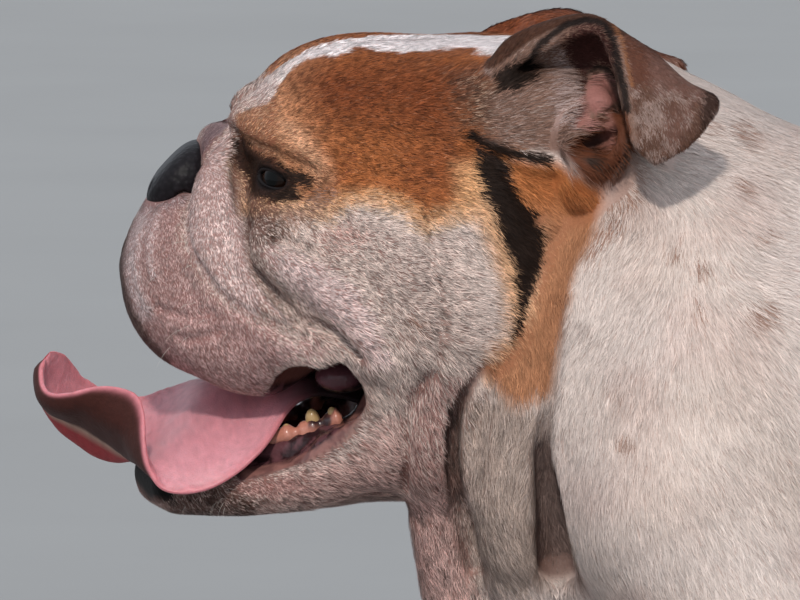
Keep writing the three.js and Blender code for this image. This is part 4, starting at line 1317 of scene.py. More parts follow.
def painted_material(name, roughness, specular, dark, light, scale, bump_mm, more={}):
    """A look in the piece's own paint, with a fine grain from dark to light over it."""
    made, tree, shader = material(name, roughness, specular)
    paint = add(tree, "ShaderNodeAttribute", {}, attribute_name="paint")
    grain = noise_node(tree, scale)
    spread = add(tree, "ShaderNodeMapRange", {"To Min": dark, "To Max": light})
    tree.links.new(grain.outputs["Fac"], spread.inputs["Value"])
    blend = add(tree, "ShaderNodeMix", {}, data_type="RGBA", blend_type="MULTIPLY")
    set_inputs(blend, {"Factor": 1.0})
    tree.links.new(paint.outputs["Color"], blend.inputs["A"])
    tree.links.new(spread.outputs["Result"], blend.inputs["B"])
    tree.links.new(blend.outputs["Result"], shader.inputs["Base Color"])
    bump(tree, shader, grain.outputs["Fac"], 0.6, bump_mm * MM)
    set_inputs(shader, more)
    return made


def two_tones(tree, shader, grain, dark, light):
    """Colour the shader by a grain, from a dark tone to a light one."""
    tone = add(tree, "ShaderNodeValToRGB", {})
    tone.color_ramp.elements[0].color = (*dark, 1)
    tone.color_ramp.elements[1].color = (*light, 1)
    tree.links.new(grain, tone.inputs["Fac"])
    tree.links.new(tone.outputs["Color"], shader.inputs["Base Color"])


def toned_material(name, roughness, specular, scale, dark, light, bump_strength=0.0):
    """A look between two tones with a fine grain, which may be felt as well."""
    made, tree, shader = material(name, roughness, specular)
    grain = noise_node(tree, scale)
    two_tones(tree, shader, grain.outputs["Fac"], dark, light)
    if bump_strength:
        bump(tree, shader, grain.outputs["Fac"], bump_strength, 0.3 * MM)
    return made


skin_look = painted_material("skin_look", 0.60, 0.15, 0.80, 1.1, 900, 0.6)
wet_coat = {"Coat Weight": 0.15, "Coat Roughness": 0.12}
wet_look = painted_material("wet_look", 0.26, 0.3, 0.75, 1.15, 420, 0.8, wet_coat)
skin.data.materials.append(skin_look)
skin.data.materials.append(wet_look)
middles = spots[quads].mean(1)
is_wet = mouth_wet(middles, side_view(middles)) > 0.5
skin.data.polygons.foreach_set("material_index", is_wet.astype(np.int32))


def ring_faces(rows, sides):
    """Quads between closed rings of points."""
    i, j = np.meshgrid(np.arange(rows - 1), np.arange(sides), indexing="ij")
    a = (i * sides + j).ravel()
    b = (i * sides + (j + 1) % sides).ravel()
    return np.column_stack([a, b, b + sides, a + sides])


def tube(path, radii, sides):
    """A tube along a path, with a radius at each stop."""
    path = np.array(path, float)
    radii = np.broadcast_to(np.array(radii, float), len(path))
    ahead = unit(np.gradient(path, axis=0))
    beside = np.where(np.abs(ahead[:, 2:]) > 0.9, [[0.0, 1.0, 0.0]], [[0.0, 0.0, 1.0]])
    across = unit(np.cross(ahead, beside))
    over = np.cross(across, ahead)
    turn = np.linspace(0, 2 * math.pi, sides, endpoint=False)
    ring = across[:, None] * np.cos(turn)[None, :, None] + over[:, None] * np.sin(turn)[None, :, None]
    points = (path[:, None] + ring * radii[:, None, None]).reshape(-1, 3)
    return points, ring_faces(len(path), sides)


def gather(parts):
    """Several meshes as one."""
    points, faces, base = [], [], 0
    for p, f in parts:
        points.append(p)
        faces.append(f + base)
        base += len(p)
    return np.concatenate(points), np.concatenate(faces)


# Tongue: a ribbon from the root, over the near side of the chin, to a scoop that curls up at the tip.
TONGUE_ROWS = [
    [[0, -26, 270], [-2, -14, 277], [-2, 0, 279], [-2, 14, 277], [0, 26, 270]],
    [[-38, -36, 278], [-38, -22, 283], [-38, -2, 286], [-38, 15, 285], [-38, 30, 281]],
    [[-58, -56, 257], [-60, -38, 268], [-58, -8, 278], [-58, 12, 280], [-58, 28, 276]],
    [[-73, -59, 245], [-74, -44, 259], [-73, -14, 273], [-72, 8, 278], [-72, 30, 278]],
    [[-86, -60, 240], [-87, -47, 254], [-86, -18, 266], [-85, 6, 273], [-85, 32, 278]],
    [[-98, -59, 241], [-98, -47, 251], [-97, -20, 258], [-96, 6, 264], [-95, 32, 275]],
    [[-104, -58, 249], [-105, -46, 250], [-104, -18, 253], [-103, 6, 258], [-102, 31, 273]],
    [[-106.5, -56, 262], [-109, -44, 254], [-110, -16, 251], [-110, 6, 253], [-108, 30, 271]],
    [[-107, -50, 273], [-113, -39, 262], [-116, -14, 253], [-116, 7, 250], [-115, 29, 271]],
    [[-110, -45, 279.5], [-119, -35, 267], [-121, -12, 256], [-121, 8, 249.5], [-121, 28, 273]],
    [[-117, -40, 282], [-125, -31, 270], [-127, -11, 259.5], [-127, 8, 251], [-127, 27, 275]],
    [[-127, -36, 282], [-132, -28, 273], [-133, -10, 263], [-133, 8, 255], [-131, 25, 278]],
    [[-137, -31, 279.3], [-139, -24, 272], [-140, -9, 266], [-140, 7, 260], [-135, 22, 281]],
    [[-146, -24, 278], [-146, -19, 273], [-146, -8, 269.5], [-145, 6, 267], [-138, 18, 286]],
    [[-150, -16, 281], [-150.5, -13, 277.5], [-150.5, -6, 276], [-149, 4, 277], [-141, 12, 290.5]],
    [[-150.5, -9, 287], [-151.5, -7, 284.5], [-151.5, -4, 283.8], [-150, 1, 285], [-144.5, 7, 292.5]],
    [[-149, -4, 291], [-150, -3, 290], [-150, -2, 289.8], [-149, 0, 290.5], [-147, 2, 293]],
]
TONGUE_ALONG, TONGUE_ROUND = ((170, 96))
TONGUE_PINK = tint(0.64, 0.25, 0.29)
TONGUE_RIM = tint(0.66, 0.22, 0.25)
# Painted shade on the near half of the tongue's underside.
TONGUE_UNDER_SHADE = tint(0.055, 0.014, 0.010)
# Red of the far half of the underside, painted bright as light shining through the thin tongue.
TONGUE_RED_LIT = tint(0.36, 0.040, 0.045)


def tongue_mesh():
    turn = np.linspace(0, 2 * math.pi, TONGUE_ROUND, endpoint=False)
    c, s = np.cos(turn), np.sin(turn)
    v = 0.5 - 0.5 * np.sign(c) * np.abs(c) ** 0.75
    lift = np.sign(s) * np.abs(s) ** 0.55
    fine = net(TONGUE_ROWS, TONGUE_ALONG, 81)
    at = v * 80
    i = np.clip(at.astype(int), 0, 79)
    f = (at - i)[None, :, None]
    middle = fine[:, i] * (1 - f) + fine[:, i + 1] * f
    along = np.gradient(fine, axis=0)
    across = np.gradient(fine, axis=1)
    up = unit(np.cross(across, along))
    up = up[:, i] * (1 - f) + up[:, i + 1] * f
    u = np.linspace(0, 1, TONGUE_ALONG)[:, None]
    thick = TONGUE_THICK * (0.62 + 0.38 * (1 - np.abs(2 * v - 1)[None, :] ** 4)) * (1 - 0.35 * u)
    thick = thick * np.sqrt(np.clip((1 - u) / 0.04, 0, 1))
    grain = noise(middle.reshape(-1, 3), 1.6, 11).reshape(middle.shape[:2])
    ripple = noise(middle.reshape(-1, 3), 9.0, 12).reshape(middle.shape[:2])
    rise = thick / 2 * lift[None, :] + np.where(lift > 0, 0.35, 0.15) * (grain - 0.5) + 0.8 * (ripple - 0.5)
    groove_line = np.exp(-((v - 0.5) / 0.03) ** 2)[None, :] * np.where(lift > 0, -0.7, 0.6)
    points = (middle + up * (rise + groove_line)[..., None]).reshape(-1, 3)
    rim = np.exp(-(np.minimum(v, 1 - v) / 0.035) ** 2)[None, :] * np.ones((TONGUE_ALONG, 1))
    under = np.broadcast_to(ramp(-lift, 0.15, 0.6)[None, :], rim.shape)
    far = np.broadcast_to(ramp(v, 0.47, 0.53)[None, :], rim.shape)
    centre = np.exp(-((v - 0.5) / 0.012) ** 2)[None, :] * under
    colour = mix(TONGUE_PINK, TONGUE_PINK * [1.1, 1.35, 1.3], 0.5 * (1 - ripple.ravel()))
    # Painted shade on the near half of the underside, and painted light through the far half.
    colour = mix(colour, TONGUE_UNDER_SHADE, under.ravel() * (1 - 0.85 * far.ravel()))
    colour = mix(colour, TONGUE_RED_LIT, (under * far).ravel())
    # A pale line along the underside's middle: a painted highlight at the edge of its shade.
    colour = mix(colour, CREAM * 0.7, 0.7 * centre.ravel())
    colour = mix(colour, TONGUE_RIM, 0.9 * rim.ravel())
    # Painted shade where the root runs back into the mouth.
    root = np.broadcast_to(ramp(-u, -0.10, -0.05), rim.shape).ravel()
    colour = mix(colour, LIP * 0.4, root)
    below = np.roll(under, -1, axis=1)[:-1].ravel() > 0.5
    colour = colour * (0.86 + 0.28 * grain.ravel()[:, None])
    return points, ring_faces(TONGUE_ALONG, TONGUE_ROUND), colour, below


tongue_points, tongue_faces, tongue_colour, tongue_below = tongue_mesh()
tongue = mesh_piece("tongue", tongue_points, tongue_faces)
paint_points(tongue, tongue_colour)
tongue_flesh = {
    "Subsurface Weight": 0.25,
    "Subsurface Radius": (1.0, 0.25, 0.2),
    "Subsurface Scale": 0.003,
    "Coat Weight": 0.12,
    "Coat Roughness": 0.3,
}
tongue_look = painted_material("tongue_look", 0.46, 0.4, 0.86, 1.1, 1500, 0.45, tongue_flesh)
under_look = painted_material("under_tongue_look", 0.6, 0.2, 0.85, 1.1, 700, 0.5)
tongue.data.materials.append(tongue_look)
tongue.data.materials.append(under_look)
tongue.data.polygons.foreach_set("material_index", tongue_below.astype(np.int32))
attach(tongue, "root")
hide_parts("tongue")


# Nose leather, made fine, with the grain of its pebbles.
NOSE_CELL = 0.85
nose_axes = [np.arange(low, high, NOSE_CELL) for low, high in ((-120, -60), (-32, 32.1), (338, 396))]
nose_points, nose_faces = surface_of(nose_form, nose_axes, 2.0)
nose_points = settle(nose_form, nose_points, 0.5)
nose = mesh_piece("nose", nose_points, nose_faces)
nose_look, nose_tree, nose_shader = material("nose_look", 0.48, 0.14)
pebbles = grain_of(nose_tree, "ShaderNodeTexVoronoi", {"Scale": 520}, feature="SMOOTH_F1")
two_tones(nose_tree, nose_shader, pebbles.outputs["Distance"], (0.016, 0.013, 0.016), (0.003, 0.0025, 0.003))
pebble_bump = bump(nose_tree, nose_shader, pebbles.outputs["Distance"], 0.5, 0.7 * MM)
pebble_bump.invert = True
nose.data.materials.append(nose_look)
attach(nose, "root")
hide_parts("nose")


# Eyes: a ball with the bulge of the cornea, a dark iris and pupil, and a wet black rim of lid.
EYE_RINGS, EYE_SIDES = 40, 48
CORNEA_RADIUS = 8.4
CORNEA_AT = 4.9


def eye_mesh(side):
    axes = eye_axes(side)
    polar = np.linspace(0, math.pi, EYE_RINGS)
    turn = np.linspace(0, 2 * math.pi, EYE_SIDES, endpoint=False)
    lean, spin = np.meshgrid(polar, turn, indexing="ij")
    inner = CORNEA_AT * np.cos(lean)
    bulge = inner + np.sqrt(np.maximum(inner**2 - CORNEA_AT**2 + CORNEA_RADIUS**2, 0))
    reach = np.maximum(EYE_RADIUS - 0.2, bulge)
    across, over, out = np.sin(lean) * np.cos(spin), np.sin(lean) * np.sin(spin), np.cos(lean)
    local = np.stack([across * reach, over * reach, out * reach], 2).reshape(-1, 3)
    points = EYE_AT * [1, side, 1] + local @ axes
    away = np.hypot(local[:, 0], local[:, 1])
    front = local[:, 2] > 0
    # The white of the eye and the iris are painted nearly black: their own dark colour, with painted shade
    # from the brow.
    white = tint(0.014, 0.008, 0.007)
    iris = tint(0.011, 0.004, 0.002)
    spokes = np.column_stack([np.arctan2(local[:, 1], local[:, 0]) * 9, away * 0.2, away * 0])
    colour = mix(white, iris * 0.35, ramp(-away, -7.9, -7.2) * front)
    colour = mix(colour, mix(iris, iris * 0.4, noise(spokes, 0.6, 21)), ramp(-away, -6.9, -6.3) * front)
    colour = mix(colour, tint(0.002, 0.002, 0.002), ramp(-away, -3.5, -3.1) * front)
    return points, ring_faces(EYE_RINGS, EYE_SIDES)[:, [0, 3, 2, 1]], colour


def lid_rim(side):
    """A wet rim that follows the opening of the lids over the eyeball."""
    axes = eye_axes(side)
    turn = np.linspace(0, 2 * math.pi, 49)
    flat = np.column_stack([(LID_WIDE + 0.2) * np.cos(turn), (LID_HIGH + 0.2) * np.sin(turn)])
    out = np.sqrt(np.maximum((EYE_RADIUS + 0.7) ** 2 - (flat**2).sum(1), 1))
    path = EYE_AT * [1, side, 1] + np.column_stack([flat, out]) @ axes
    return tube(path, 0.8 + 0.3 * np.cos(turn) ** 2, 12)


eye_coat = {"Coat Weight": 0.12, "Coat Roughness": 0.03}
eye_look = painted_material("eye_look", 0.07, 0.1, 0.9, 1.1, 1200, 0.02, eye_coat)
rim_look = toned_material("rim_look", 0.45, 0.15, 1800, (0.004, 0.003, 0.003), (0.014, 0.010, 0.011), 0.5)
for side, which in ((-1, "left"), (1, "right")):
    eye_points, eye_faces, eye_colour = eye_mesh(side)
    eye = mesh_piece("eye_" + which, eye_points, eye_faces)
    paint_points(eye, eye_colour)
    eye.data.materials.append(eye_look)
    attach(eye, "root")
    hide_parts("eye_" + which)
    rim = mesh_piece("lid_rim_" + which, *lid_rim(side))
    rim.data.materials.append(rim_look)
    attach(rim, "root")


# Gums and teeth of the lower jaw, where the open mouth shows them.
GUM_LINE = [[-88, 16, 253], [-78, 28, 255], [-64, 37, 258], [-48, 43, 262], [-36, 46, 266], [-24, 49, 271]]
# Place along the gum, height and width of each tooth, and whether the tongue hides it on the left.
TOOTH_STOPS = [
    (0.10, 5, 4.0, True),
    (0.20, 9, 4.6, True),
    (0.34, 5, 3.6, True),
    (0.46, 5, 4.2, True),
    (0.62, 3.5, 4.4, False),
    (0.80, 6.5, 6.4, False),
    (0.94, 4, 4.6, False),
]


def gum_mesh(side):
    path = spline(GUM_LINE, 60) * [1, side, 1]
    swell = 3.6 + 0.9 * np.sin(np.linspace(0, 34, 60)) + 0.6 * np.sin(np.linspace(1, 71, 60))
    swell[0] = swell[-1] = 0.6
    points, faces = tube(path, swell, 14)
    points[:, 2] += 1.6 * (noise(points, 5, 31) - 0.5)
    return points, faces


def tooth_mesh(side, along, tall, wide):
    path = spline(GUM_LINE, 101) * [1, side, 1]
    foot = path[int(along * 100)] + [0, 0, 1.5]
    steps = np.linspace(0, 1, 9)
    middle = foot + np.column_stack([steps * -1.2, steps * side * 0.8, steps * tall])
    return tube(middle, wide / 2 * np.sqrt(1 - 0.98 * steps**2.4), 10)


gum_parts, tooth_parts = [], []
for side in (-1, 1):
    gum_parts.append(gum_mesh(side))
    for along, tall, wide, hidden in TOOTH_STOPS:
        if side > 0 or not hidden:
            tooth_parts.append(tooth_mesh(side, along, tall, wide))
gum_points, gum_faces = gather(gum_parts)
gums = mesh_piece("gums", gum_points, gum_faces)
gum_dark = ramp(noise(gum_points, 5.0, 32), 0.55, 0.72) * ramp(gum_points[:, 0], -70, -40)
paint_points(gums, mix(GUM, LIP * 0.5, gum_dark))
gum_coat = {"Coat Weight": 0.4, "Coat Roughness": 0.15}
gum_look = painted_material("gum_look", 0.28, 0.5, 0.85, 1.12, 700, 0.4, gum_coat)
gums.data.materials.append(gum_look)
tooth_points, tooth_faces = gather(tooth_parts)
teeth = mesh_piece("teeth", tooth_points, tooth_faces)
tooth_look = toned_material("tooth_look", 0.25, 0.5, 300, (0.42, 0.24, 0.09), (0.62, 0.44, 0.22), 0.3)
teeth.data.materials.append(tooth_look)
for piece, slot in ((gums, "bare_skin"), (teeth, "teeth")):
    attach(piece, "root")


# Claws: short, thick and curved, one to a toe.
CLAW_LONG, CLAW_WIDE, CLAW_HEIGHT = 15, 5.4, 13
CLAW_AHEAD = 16


def claw_mesh(x, side, size, k):
    steps = np.linspace(0, 1, 10)
    start = x - toe_reach(k) * size - CLAW_AHEAD * size
    path = np.column_stack([
        start - CLAW_LONG * size * steps * 0.75,
        np.full(10, side + TOE_APART * k * size) + 0.6 * k * steps,
        CLAW_HEIGHT * size + 2.5 - 9.5 * size * steps**2,
    ])
    return tube(path, CLAW_WIDE / 2 * size * np.sqrt(1 - 0.97 * steps**1.8), 12)


claw_parts = []
for x, side, size in ((FOREPAW_X, FORELEG_SIDE, 1), (HINDPAW_X, HINDLEG_SIDE, HINDPAW_SIZE)):
    for k in TOES:
        for hand in (-1, 1):
            claw_points, claw_faces = claw_mesh(x, side, size, k)
            claw_parts.append((claw_points * [1, hand, 1], claw_faces))
claws = mesh_piece("claws", *gather(claw_parts))
claw_look = toned_material("claw_look", 0.35, 0.5, 160, (0.10, 0.06, 0.04), (0.42, 0.30, 0.22), 0.3)
claws.data.materials.append(claw_look)
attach(claws, "root")


# Coat: short blades that lie along the skin, each a flat kite of four points.
# Places on the animal, mirrored to one side, and which way the hair lies there.
LIE = [
    ([-72, 0, 388], [1, 0, 0.3]),
    ([-60, 10, 405], [0.5, 0, 1]),
    ([-50, 45, 392], [0.8, 0.1, 0.5]),
    ([-20, 20, 425], [1, 0.1, 0.3]),
    ([60, 10, 425], [1, 0, -0.1]),
    ([30, 78, 385], [1, 0, -0.2]),
    ([0, 80, 360], [1, 0, -0.3]),
    ([-45, 72, 348], [0.6, 0, -0.8]),
    ([-28, 72, 368], [1, 0.1, -0.2]),
    ([-75, 50, 350], [0.05, 0, -1]),
    ([-98, 40, 335], [0.3, 0.1, -1]),
    ([-112, 12, 325], [0.2, 0.4, -1]),
    ([-100, 35, 305], [0.6, 0.1, -0.8]),
    ([-60, 65, 305], [0.6, 0, -0.8]),
    ([-20, 85, 330], [1, 0, -0.35]),
    ([30, 98, 318], [1, 0, -0.1]),
    ([15, 92, 285], [0.3, 0, -1]),
    ([25, 60, 230], [0.3, 0, -1]),
    ([52, 80, 270], [-0.3, 0, -1]),
    ([45, 88, 350], [0.7, 0, -0.7]),
    ([84, 95, 305], [-0.5, 0, -0.85]),
    ([96, 98, 345], [-0.45, 0, -0.9]),
    ([118, 104, 285], [0, 0, -1]),
    ([126, 104, 345], [0.2, 0, -1]),
    ([150, 112, 292], [0.6, 0, -0.8]),
    ([152, 110, 342], [1, 0, -0.35]),
    ([120, 80, 395], [0.9, 0, -0.3]),
    ([110, 20, 420], [1, 0, 0]),
    ([-20, 62, 262], [1, 0, -0.3]),
    ([-50, 15, 226], [1, 0, 0]),
    ([-95, 20, 240], [0.6, 0.1, -0.7]),
    ([150, 125, 260], [0.5, 0, -0.9]),
    ([260, 130, 280], [1, 0, -0.3]),
    ([260, 0, 385], [1, 0, 0.05]),
    ([260, 0, 150], [1, 0, 0]),
    ([430, 85, 330], [0.7, 0, -0.7]),
    ([410, 105, 240], [0.3, 0, -1]),
    ([130, 120, 140], [0.1, 0, -1]),
    ([420, 90, 130], [0.1, 0, -1]),
    ([95, 110, 22], [-0.8, 0, -0.5]),
    ([410, 86, 20], [-0.8, 0, -0.5]),
    ([512, 0, 290], [0.3, 0, -1]),
    ([55, 0, 200], [0.1, 0, -1]),
    ([42, 60, 420], [0.6, 0, 0.8]),
    ([80, 74, 440], [1, 0, 0.1]),
    ([108, 100, 415], [0.7, 0.1, -0.7]),
    ([104, 112, 394], [0.1, 0, -1]),
    ([66, 76, 408], [0.9, 0.1, 0.2]),
]
LIE_NEAR = 18.0


def lie_of(p, normal):
    """Which way the hair lies: the ways of the places near by, with a swirl and some luck of its own."""
    one_side = mirrored(p)
    total = np.zeros((len(p), 3))
    for place, way in LIE:
        way = np.array(way) / np.linalg.norm(way)
        away = np.sum((one_side - place) ** 2, axis=1) + LIE_NEAR**2
        total += way / (away**2)[:, None]
    total[:, 1] *= np.sign(p[:, 1])
    total -= normal * np.sum(total * normal, axis=1)[:, None]
    total = unit(total, 1e-12)
    across = np.cross(normal, total)
    body = ramp(p[:, 0], 10, 80)
    wide_swirl = (0.4 - 0.15 * body) * (noise(p, 11.0, 41) - 0.5)
    swirl = wide_swirl + (0.34 - 0.14 * body) * (noise(p, 4.0, 42) - 0.5)
    turn = swirl + (0.17 - 0.07 * body) * luck.standard_normal(len(p))
    return total * np.cos(turn)[:, None] + across * np.sin(turn)[:, None]


def bare(p):
    """One where there is no hair: nose, lips, lids and the mouth."""
    patch = patches(side_view(p))
    x, side = p[:, 0], np.abs(p[:, 1])
    wet = patch(MOUTH_INSIDE, 0.5) * (side < 74)
    chin = patch(CHIN_BLACK, 1) * (side < 30)
    lobe = patch(EAR_TALL_LOBE, 1) * (x > 60)
    burr = 0.85 * patch(EAR_BURR_PART, 1) * (x > 60) * (side > 60)
    mouth_near = 1 - ramp(mouth_form.at(p), 0.8, 2.5)
    lids = 1 - ramp(np.minimum(lid_left.at(p), lid_right.at(p)), 1.2, 3.0)
    nose_near = 1 - ramp(nose_form.at(p), 0.2, 2.0)
    return np.max([wet, chin, lobe, burr, mouth_near, lids, nose_near], axis=0)


def near_share(p):
    """One over what the photograph shows, less elsewhere."""
    return ramp(-p[:, 1], -30, 5) * ramp(-p[:, 0], -215, -175) * ramp(p[:, 2], 150, 190)


def blade_size(p):
    """Length and width of the hair, in millimetres."""
    x, z = p[:, 0], p[:, 2]
    long = np.interp(x, [-110, -60, -20, 30, 60, 110, 200], [1.7, 2.4, 3.5, 4.8, 6.8, 9.0, 11])
    long = np.where((x > -40) & (x < 60), long + 1.5 * ramp(-z, -330, -290), long)
    long *= 1 - 0.40 * ramp(-z, -200, -120)
    long *= 1 - 0.25 * ramp(-z, -60, -20)
    long = long * (1 - on_ears(p)) + 2.8 * on_ears(p)
    wide = np.interp(x, [-110, -40, 40, 120, 200], [0.19, 0.24, 0.28, 0.34, 0.42])
    near = near_share(p)
    wide = wide * near + np.maximum(wide * 2.0, 0.62) * (1 - near)
    long = long * (1 + 0.25 * (1 - near))
    return long, wide


def cover(p):
    """How many times over the hairs cover the skin."""
    near = near_share(p)
    seen = np.interp(p[:, 0], [-110, -70, 0, 60], [1.7, 1.9, 2.4, 2.8])
    return seen * near + 1.6 * (1 - near)


# Coat pieces after the ears, from the head back: each takes what is left before an x and above a z.
COAT_PARTS = [
    ("coat_muzzle", -52, -99),
    ("coat_crown", 80, 352),
    ("coat_cheeks", 40, 205),
    ("coat_neck", 96, 150),
    ("coat_withers", 200, 300),
    ("coat_shoulders", 200, 150),
    ("coat_trunk", 350, 150),
    ("coat_rump", 999, 190),
    ("coat_legs", 999, -99),
]
MOST_BLADES = 98000
luck = np.random.default_rng(7)


def bake_patches(roots, normal):
    """Each blade's patch at its root's place on six flattened sides of the skin."""
    main = np.argmax(np.abs(normal), axis=1)
    chart = main * 2 + (normal[np.arange(len(normal)), main] > 0)
    uv = np.zeros((len(roots), 2))
    low, high = roots.min(0), roots.max(0)
    span = np.maximum(high - low, 1)
    for axis in range(3):
        m = main == axis
        a, b = [k for k in range(3) if k != axis]
        uv[m, 0] = (roots[m, a] - low[a]) / span[a]
        uv[m, 1] = (roots[m, b] - low[b]) / span[b]
    column, row = chart % 3, chart // 3
    u = (column + 0.03 + 0.94 * uv[:, 0]) / 3
    v = (row + 0.03 + 0.94 * uv[:, 1]) / 2
    return np.column_stack([u, v])


# A blade's own corners on its patch of the map.
BLADE_UV = np.array([[0, -0.0015], [-0.0013, 0], [0, 0.0015], [0.0013, 0]])


# Shade at a blade's base, side, tip and side: deep on the face, nearly even on the body.
FACE_SHADE = np.array([0.48, 0.94, 1.20, 0.94])
BODY_SHADE = np.array([0.88, 1.0, 1.06, 1.0])


def hair_roots():
    """Where the hairs stand, as many to each quad as its coat asks for, and the skin's normals there."""
    corner = [spots[quads[:, k]] for k in range(4)]
    middle = sum(corner) / 4
    area = 0.5 * np.linalg.norm(np.cross(corner[2] - corner[0], corner[3] - corner[1]), axis=1)
    long, wide = blade_size(middle)
    want = cover(middle) / (long * wide * 0.5) * area * (1 - bare(middle))
    want *= np.where(middle[:, 2] < 2.5, 0, 1)
    count = luck.poisson(want * (1.0))
    face = np.repeat(np.arange(len(quads)), count)
    a, b = luck.random(len(face)), luck.random(len(face))
    weight = [(1 - a) * (1 - b), a * (1 - b), a * b, (1 - a) * b]
    roots = sum(w[:, None] * corner[k][face] for k, w in enumerate(weight))
    normal = sum(w[:, None] * skin_normals[quads[face, k]] for k, w in enumerate(weight))
    return roots, unit(normal)


def hair_colours(roots, normal, body):
    """The coat's colour at each root, lighter or darker by luck and in small tufts."""
    colour = coat_colour(roots, normal, luck.random(len(roots)))
    tone = 1 + (0.29 - 0.20 * body) * luck.standard_normal(len(roots))
    tone += (0.40 - 0.22 * body) * (noise(roots, 2.6, 43) - 0.5)
    tone += (1.2 - 0.85 * body) * (noise(roots, 0.9, 44) - 0.5)
    return colour * np.clip(tone, 0.35, 1.7)[:, None]


def blade_points(roots, normal, way, across, body):
    """Four points to a blade: its base just under the skin, a side, the tip and the other side."""
    long, wide = blade_size(roots)
    long = long * luck.uniform(0.65, 1.25, len(roots))
    wide = wide * luck.uniform(0.75, 1.25, len(roots))
    lift = long * luck.uniform(0.03, 0.15, len(roots)) * (1 - 0.6 * body) + 0.08
    half = 0.5 * wide[:, None] * across
    base = roots - 0.15 * normal
    mid = roots + way * (0.42 * long)[:, None] + normal * (0.8 * lift)[:, None]
    drift = across * (0.10 * long * luck.standard_normal(len(roots)))[:, None]
    tip = roots + way * long[:, None] + normal * lift[:, None] + drift
    points = np.stack([base, mid - half, tip, mid + half], 1)
    points[..., 2] = np.maximum(points[..., 2], 0.2)
    return points


def make_coat():
    """All the hair, drawn by luck in one fixed order and shared out to the coat pieces."""
    roots, normal = hair_roots()
    body = ramp(roots[:, 0], 10, 80)
    way = lie_of(roots, normal)
    across = np.cross(normal, way)
    colour = hair_colours(roots, normal, body)
    points = blade_points(roots, normal, way, across, body)
    shade = FACE_SHADE + (BODY_SHADE - FACE_SHADE) * body[:, None]
    paint = colour[:, None] * shade[:, :, None]
    lean = luck.standard_normal((2, len(roots)))
    facing = unit(normal + 0.22 * across * lean[0][:, None] + 0.16 * way * lean[1][:, None])
    parts = [("coat_ears", on_ears(roots) > 0.5)]
    for name, front, floor_z in COAT_PARTS:
        parts.append((name, (roots[:, 0] < front) & (roots[:, 2] > floor_z)))
    left = np.ones(len(roots), bool)
    for name, belongs in parts:
        index = np.flatnonzero(left & belongs)
        left &= ~belongs
        if len(index) > MOST_BLADES:
            index = luck.choice(index, MOST_BLADES, replace=False)
        coat_piece(name, points[index], paint[index], roots[index], normal[index], facing[index])


coat_sheen = {"Sheen Weight": 0.02, "Sheen Roughness": 0.4}
coat_look = painted_material("coat_look", 0.62, 0.11, 0.92, 1.08, 1400, 0.05, coat_sheen)


def coat_piece(name, points, paint, roots, normal, facing):
    piece = mesh_piece(name, points.reshape(-1, 3), np.arange(len(points) * 4).reshape(-1, 4))
    uv = bake_patches(roots, normal)[:, None] + BLADE_UV
    layer = piece.data.uv_layers.new(name="OFBake")
    layer.data.foreach_set("uv", uv.astype(np.float32).ravel())
    layer = piece.data.attributes.new("custom_normal", "FLOAT_VECTOR", "POINT")
    layer.data.foreach_set("vector", np.repeat(facing, 4, axis=0).astype(np.float32).ravel())
    paint_points(piece, paint.reshape(-1, 3))
    piece.data.materials.append(coat_look)
    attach(piece, "root")


make_coat()


# Whiskers: fine bristles on the lips and the chin.
WHISKER_BEDS = [
    ([(150, 230), (200, 320)], 9, 8, 0.08),
    ([(150, 300), (250, 368)], 9, 11, 0.08),
    ([(170, 496), (230, 508)], 7, 7, 0.08),
]


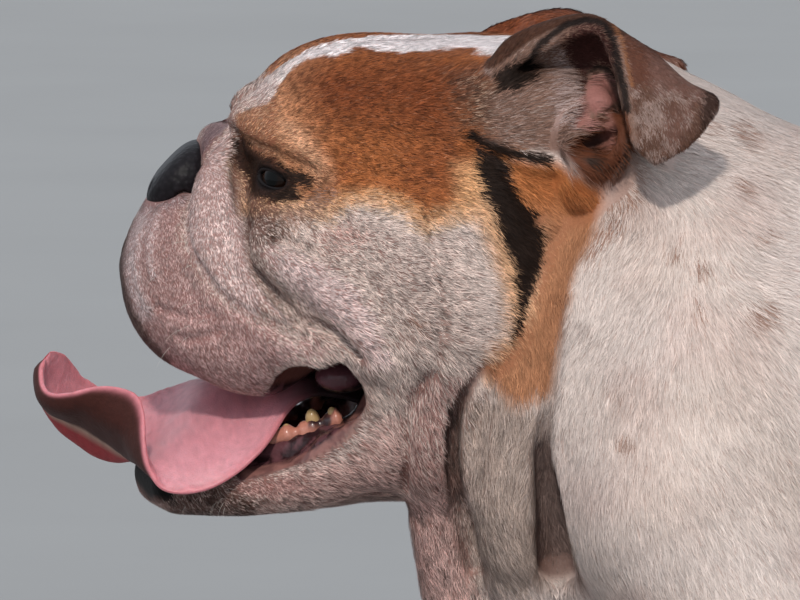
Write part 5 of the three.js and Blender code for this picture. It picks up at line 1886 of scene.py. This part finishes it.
def whisker_mesh():
    parts = []
    for box, count, long, wide in WHISKER_BEDS:
        (x0, y0), (x1, y1) = box
        pixels = np.column_stack([luck.uniform(x0, x1, count), luck.uniform(y0, y1, count)])
        root, out = laid_on(plain_skin, pixels)
        for p, n in zip(root, out):
            for hand in (-1, 1):
                reach = long * luck.uniform(0.6, 1.3)
                sag = np.array([luck.uniform(-0.3, 0.5), 0, -0.7])
                steps = np.linspace(0, 1, 6)[:, None]
                path = p - n + n * reach * steps + sag * reach * steps**2 * 0.6
                parts.append(tube(path * [1, hand, 1], wide * (1.05 - np.linspace(0, 1, 6)), 5))
    return gather(parts)


whiskers = mesh_piece("whiskers", *whisker_mesh())
whisker_look = toned_material("whisker_look", 0.4, 0.5, 90, (0.45, 0.40, 0.34), (0.86, 0.82, 0.74))
whiskers.data.materials.append(whisker_look)
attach(whiskers, "root")


# Floor, light and camera.
bpy.ops.mesh.primitive_plane_add(size=60)
floor = bpy.context.object
floor.name = "floor"
floor_look, floor_tree, floor_shader = material("floor_look", 0.8, 0.2)
floor_noise = noise_node(floor_tree, 3.0)
floor_tone = add(floor_tree, "ShaderNodeMapRange", {"To Min": 0.30, "To Max": 0.34})
floor_tree.links.new(floor_noise.outputs["Fac"], floor_tone.inputs["Value"])
floor_tree.links.new(floor_tone.outputs["Result"], floor_shader.inputs["Base Color"])
floor.data.materials.append(floor_look)


def sun(name, towards, strength, angle, colour):
    light = bpy.data.lights.new(name, "SUN")
    light.energy = strength
    light.angle = math.radians(angle)
    light.color = colour
    lamp = bpy.data.objects.new(name, light)
    lamp.rotation_euler = Vector(towards).to_track_quat("-Z", "Y").to_euler()
    bpy.context.scene.collection.objects.link(lamp)


sun("key", (0.10, 0.78, -0.62), 1.85, 4, (1.0, 0.95, 0.88))
world = bpy.data.worlds.new("sky")
bpy.context.scene.world = world
world.use_nodes = True
set_inputs(world.node_tree.nodes["Background"], {"Color": (0.84, 0.91, 1.0, 1), "Strength": 0.78})

camera_data = bpy.data.cameras.new("camera")
camera = bpy.data.objects.new("camera", camera_data)
bpy.context.scene.collection.objects.link(camera)
target = Vector(to_scene(np.array([0.0, 0.0, VIEW_HEIGHT])))
back = Vector((0, -math.cos(VIEW_TILT), math.sin(VIEW_TILT)))
camera.location = target + back * VIEW_DISTANCE
camera.rotation_euler = (-back).to_track_quat("-Z", "Y").to_euler()
camera_data.sensor_width = SENSOR
camera_data.lens = SENSOR * VIEW_DISTANCE / VIEW_WIDTH
bpy.context.scene.camera = camera
bpy.context.scene.view_settings.view_transform = "Standard"
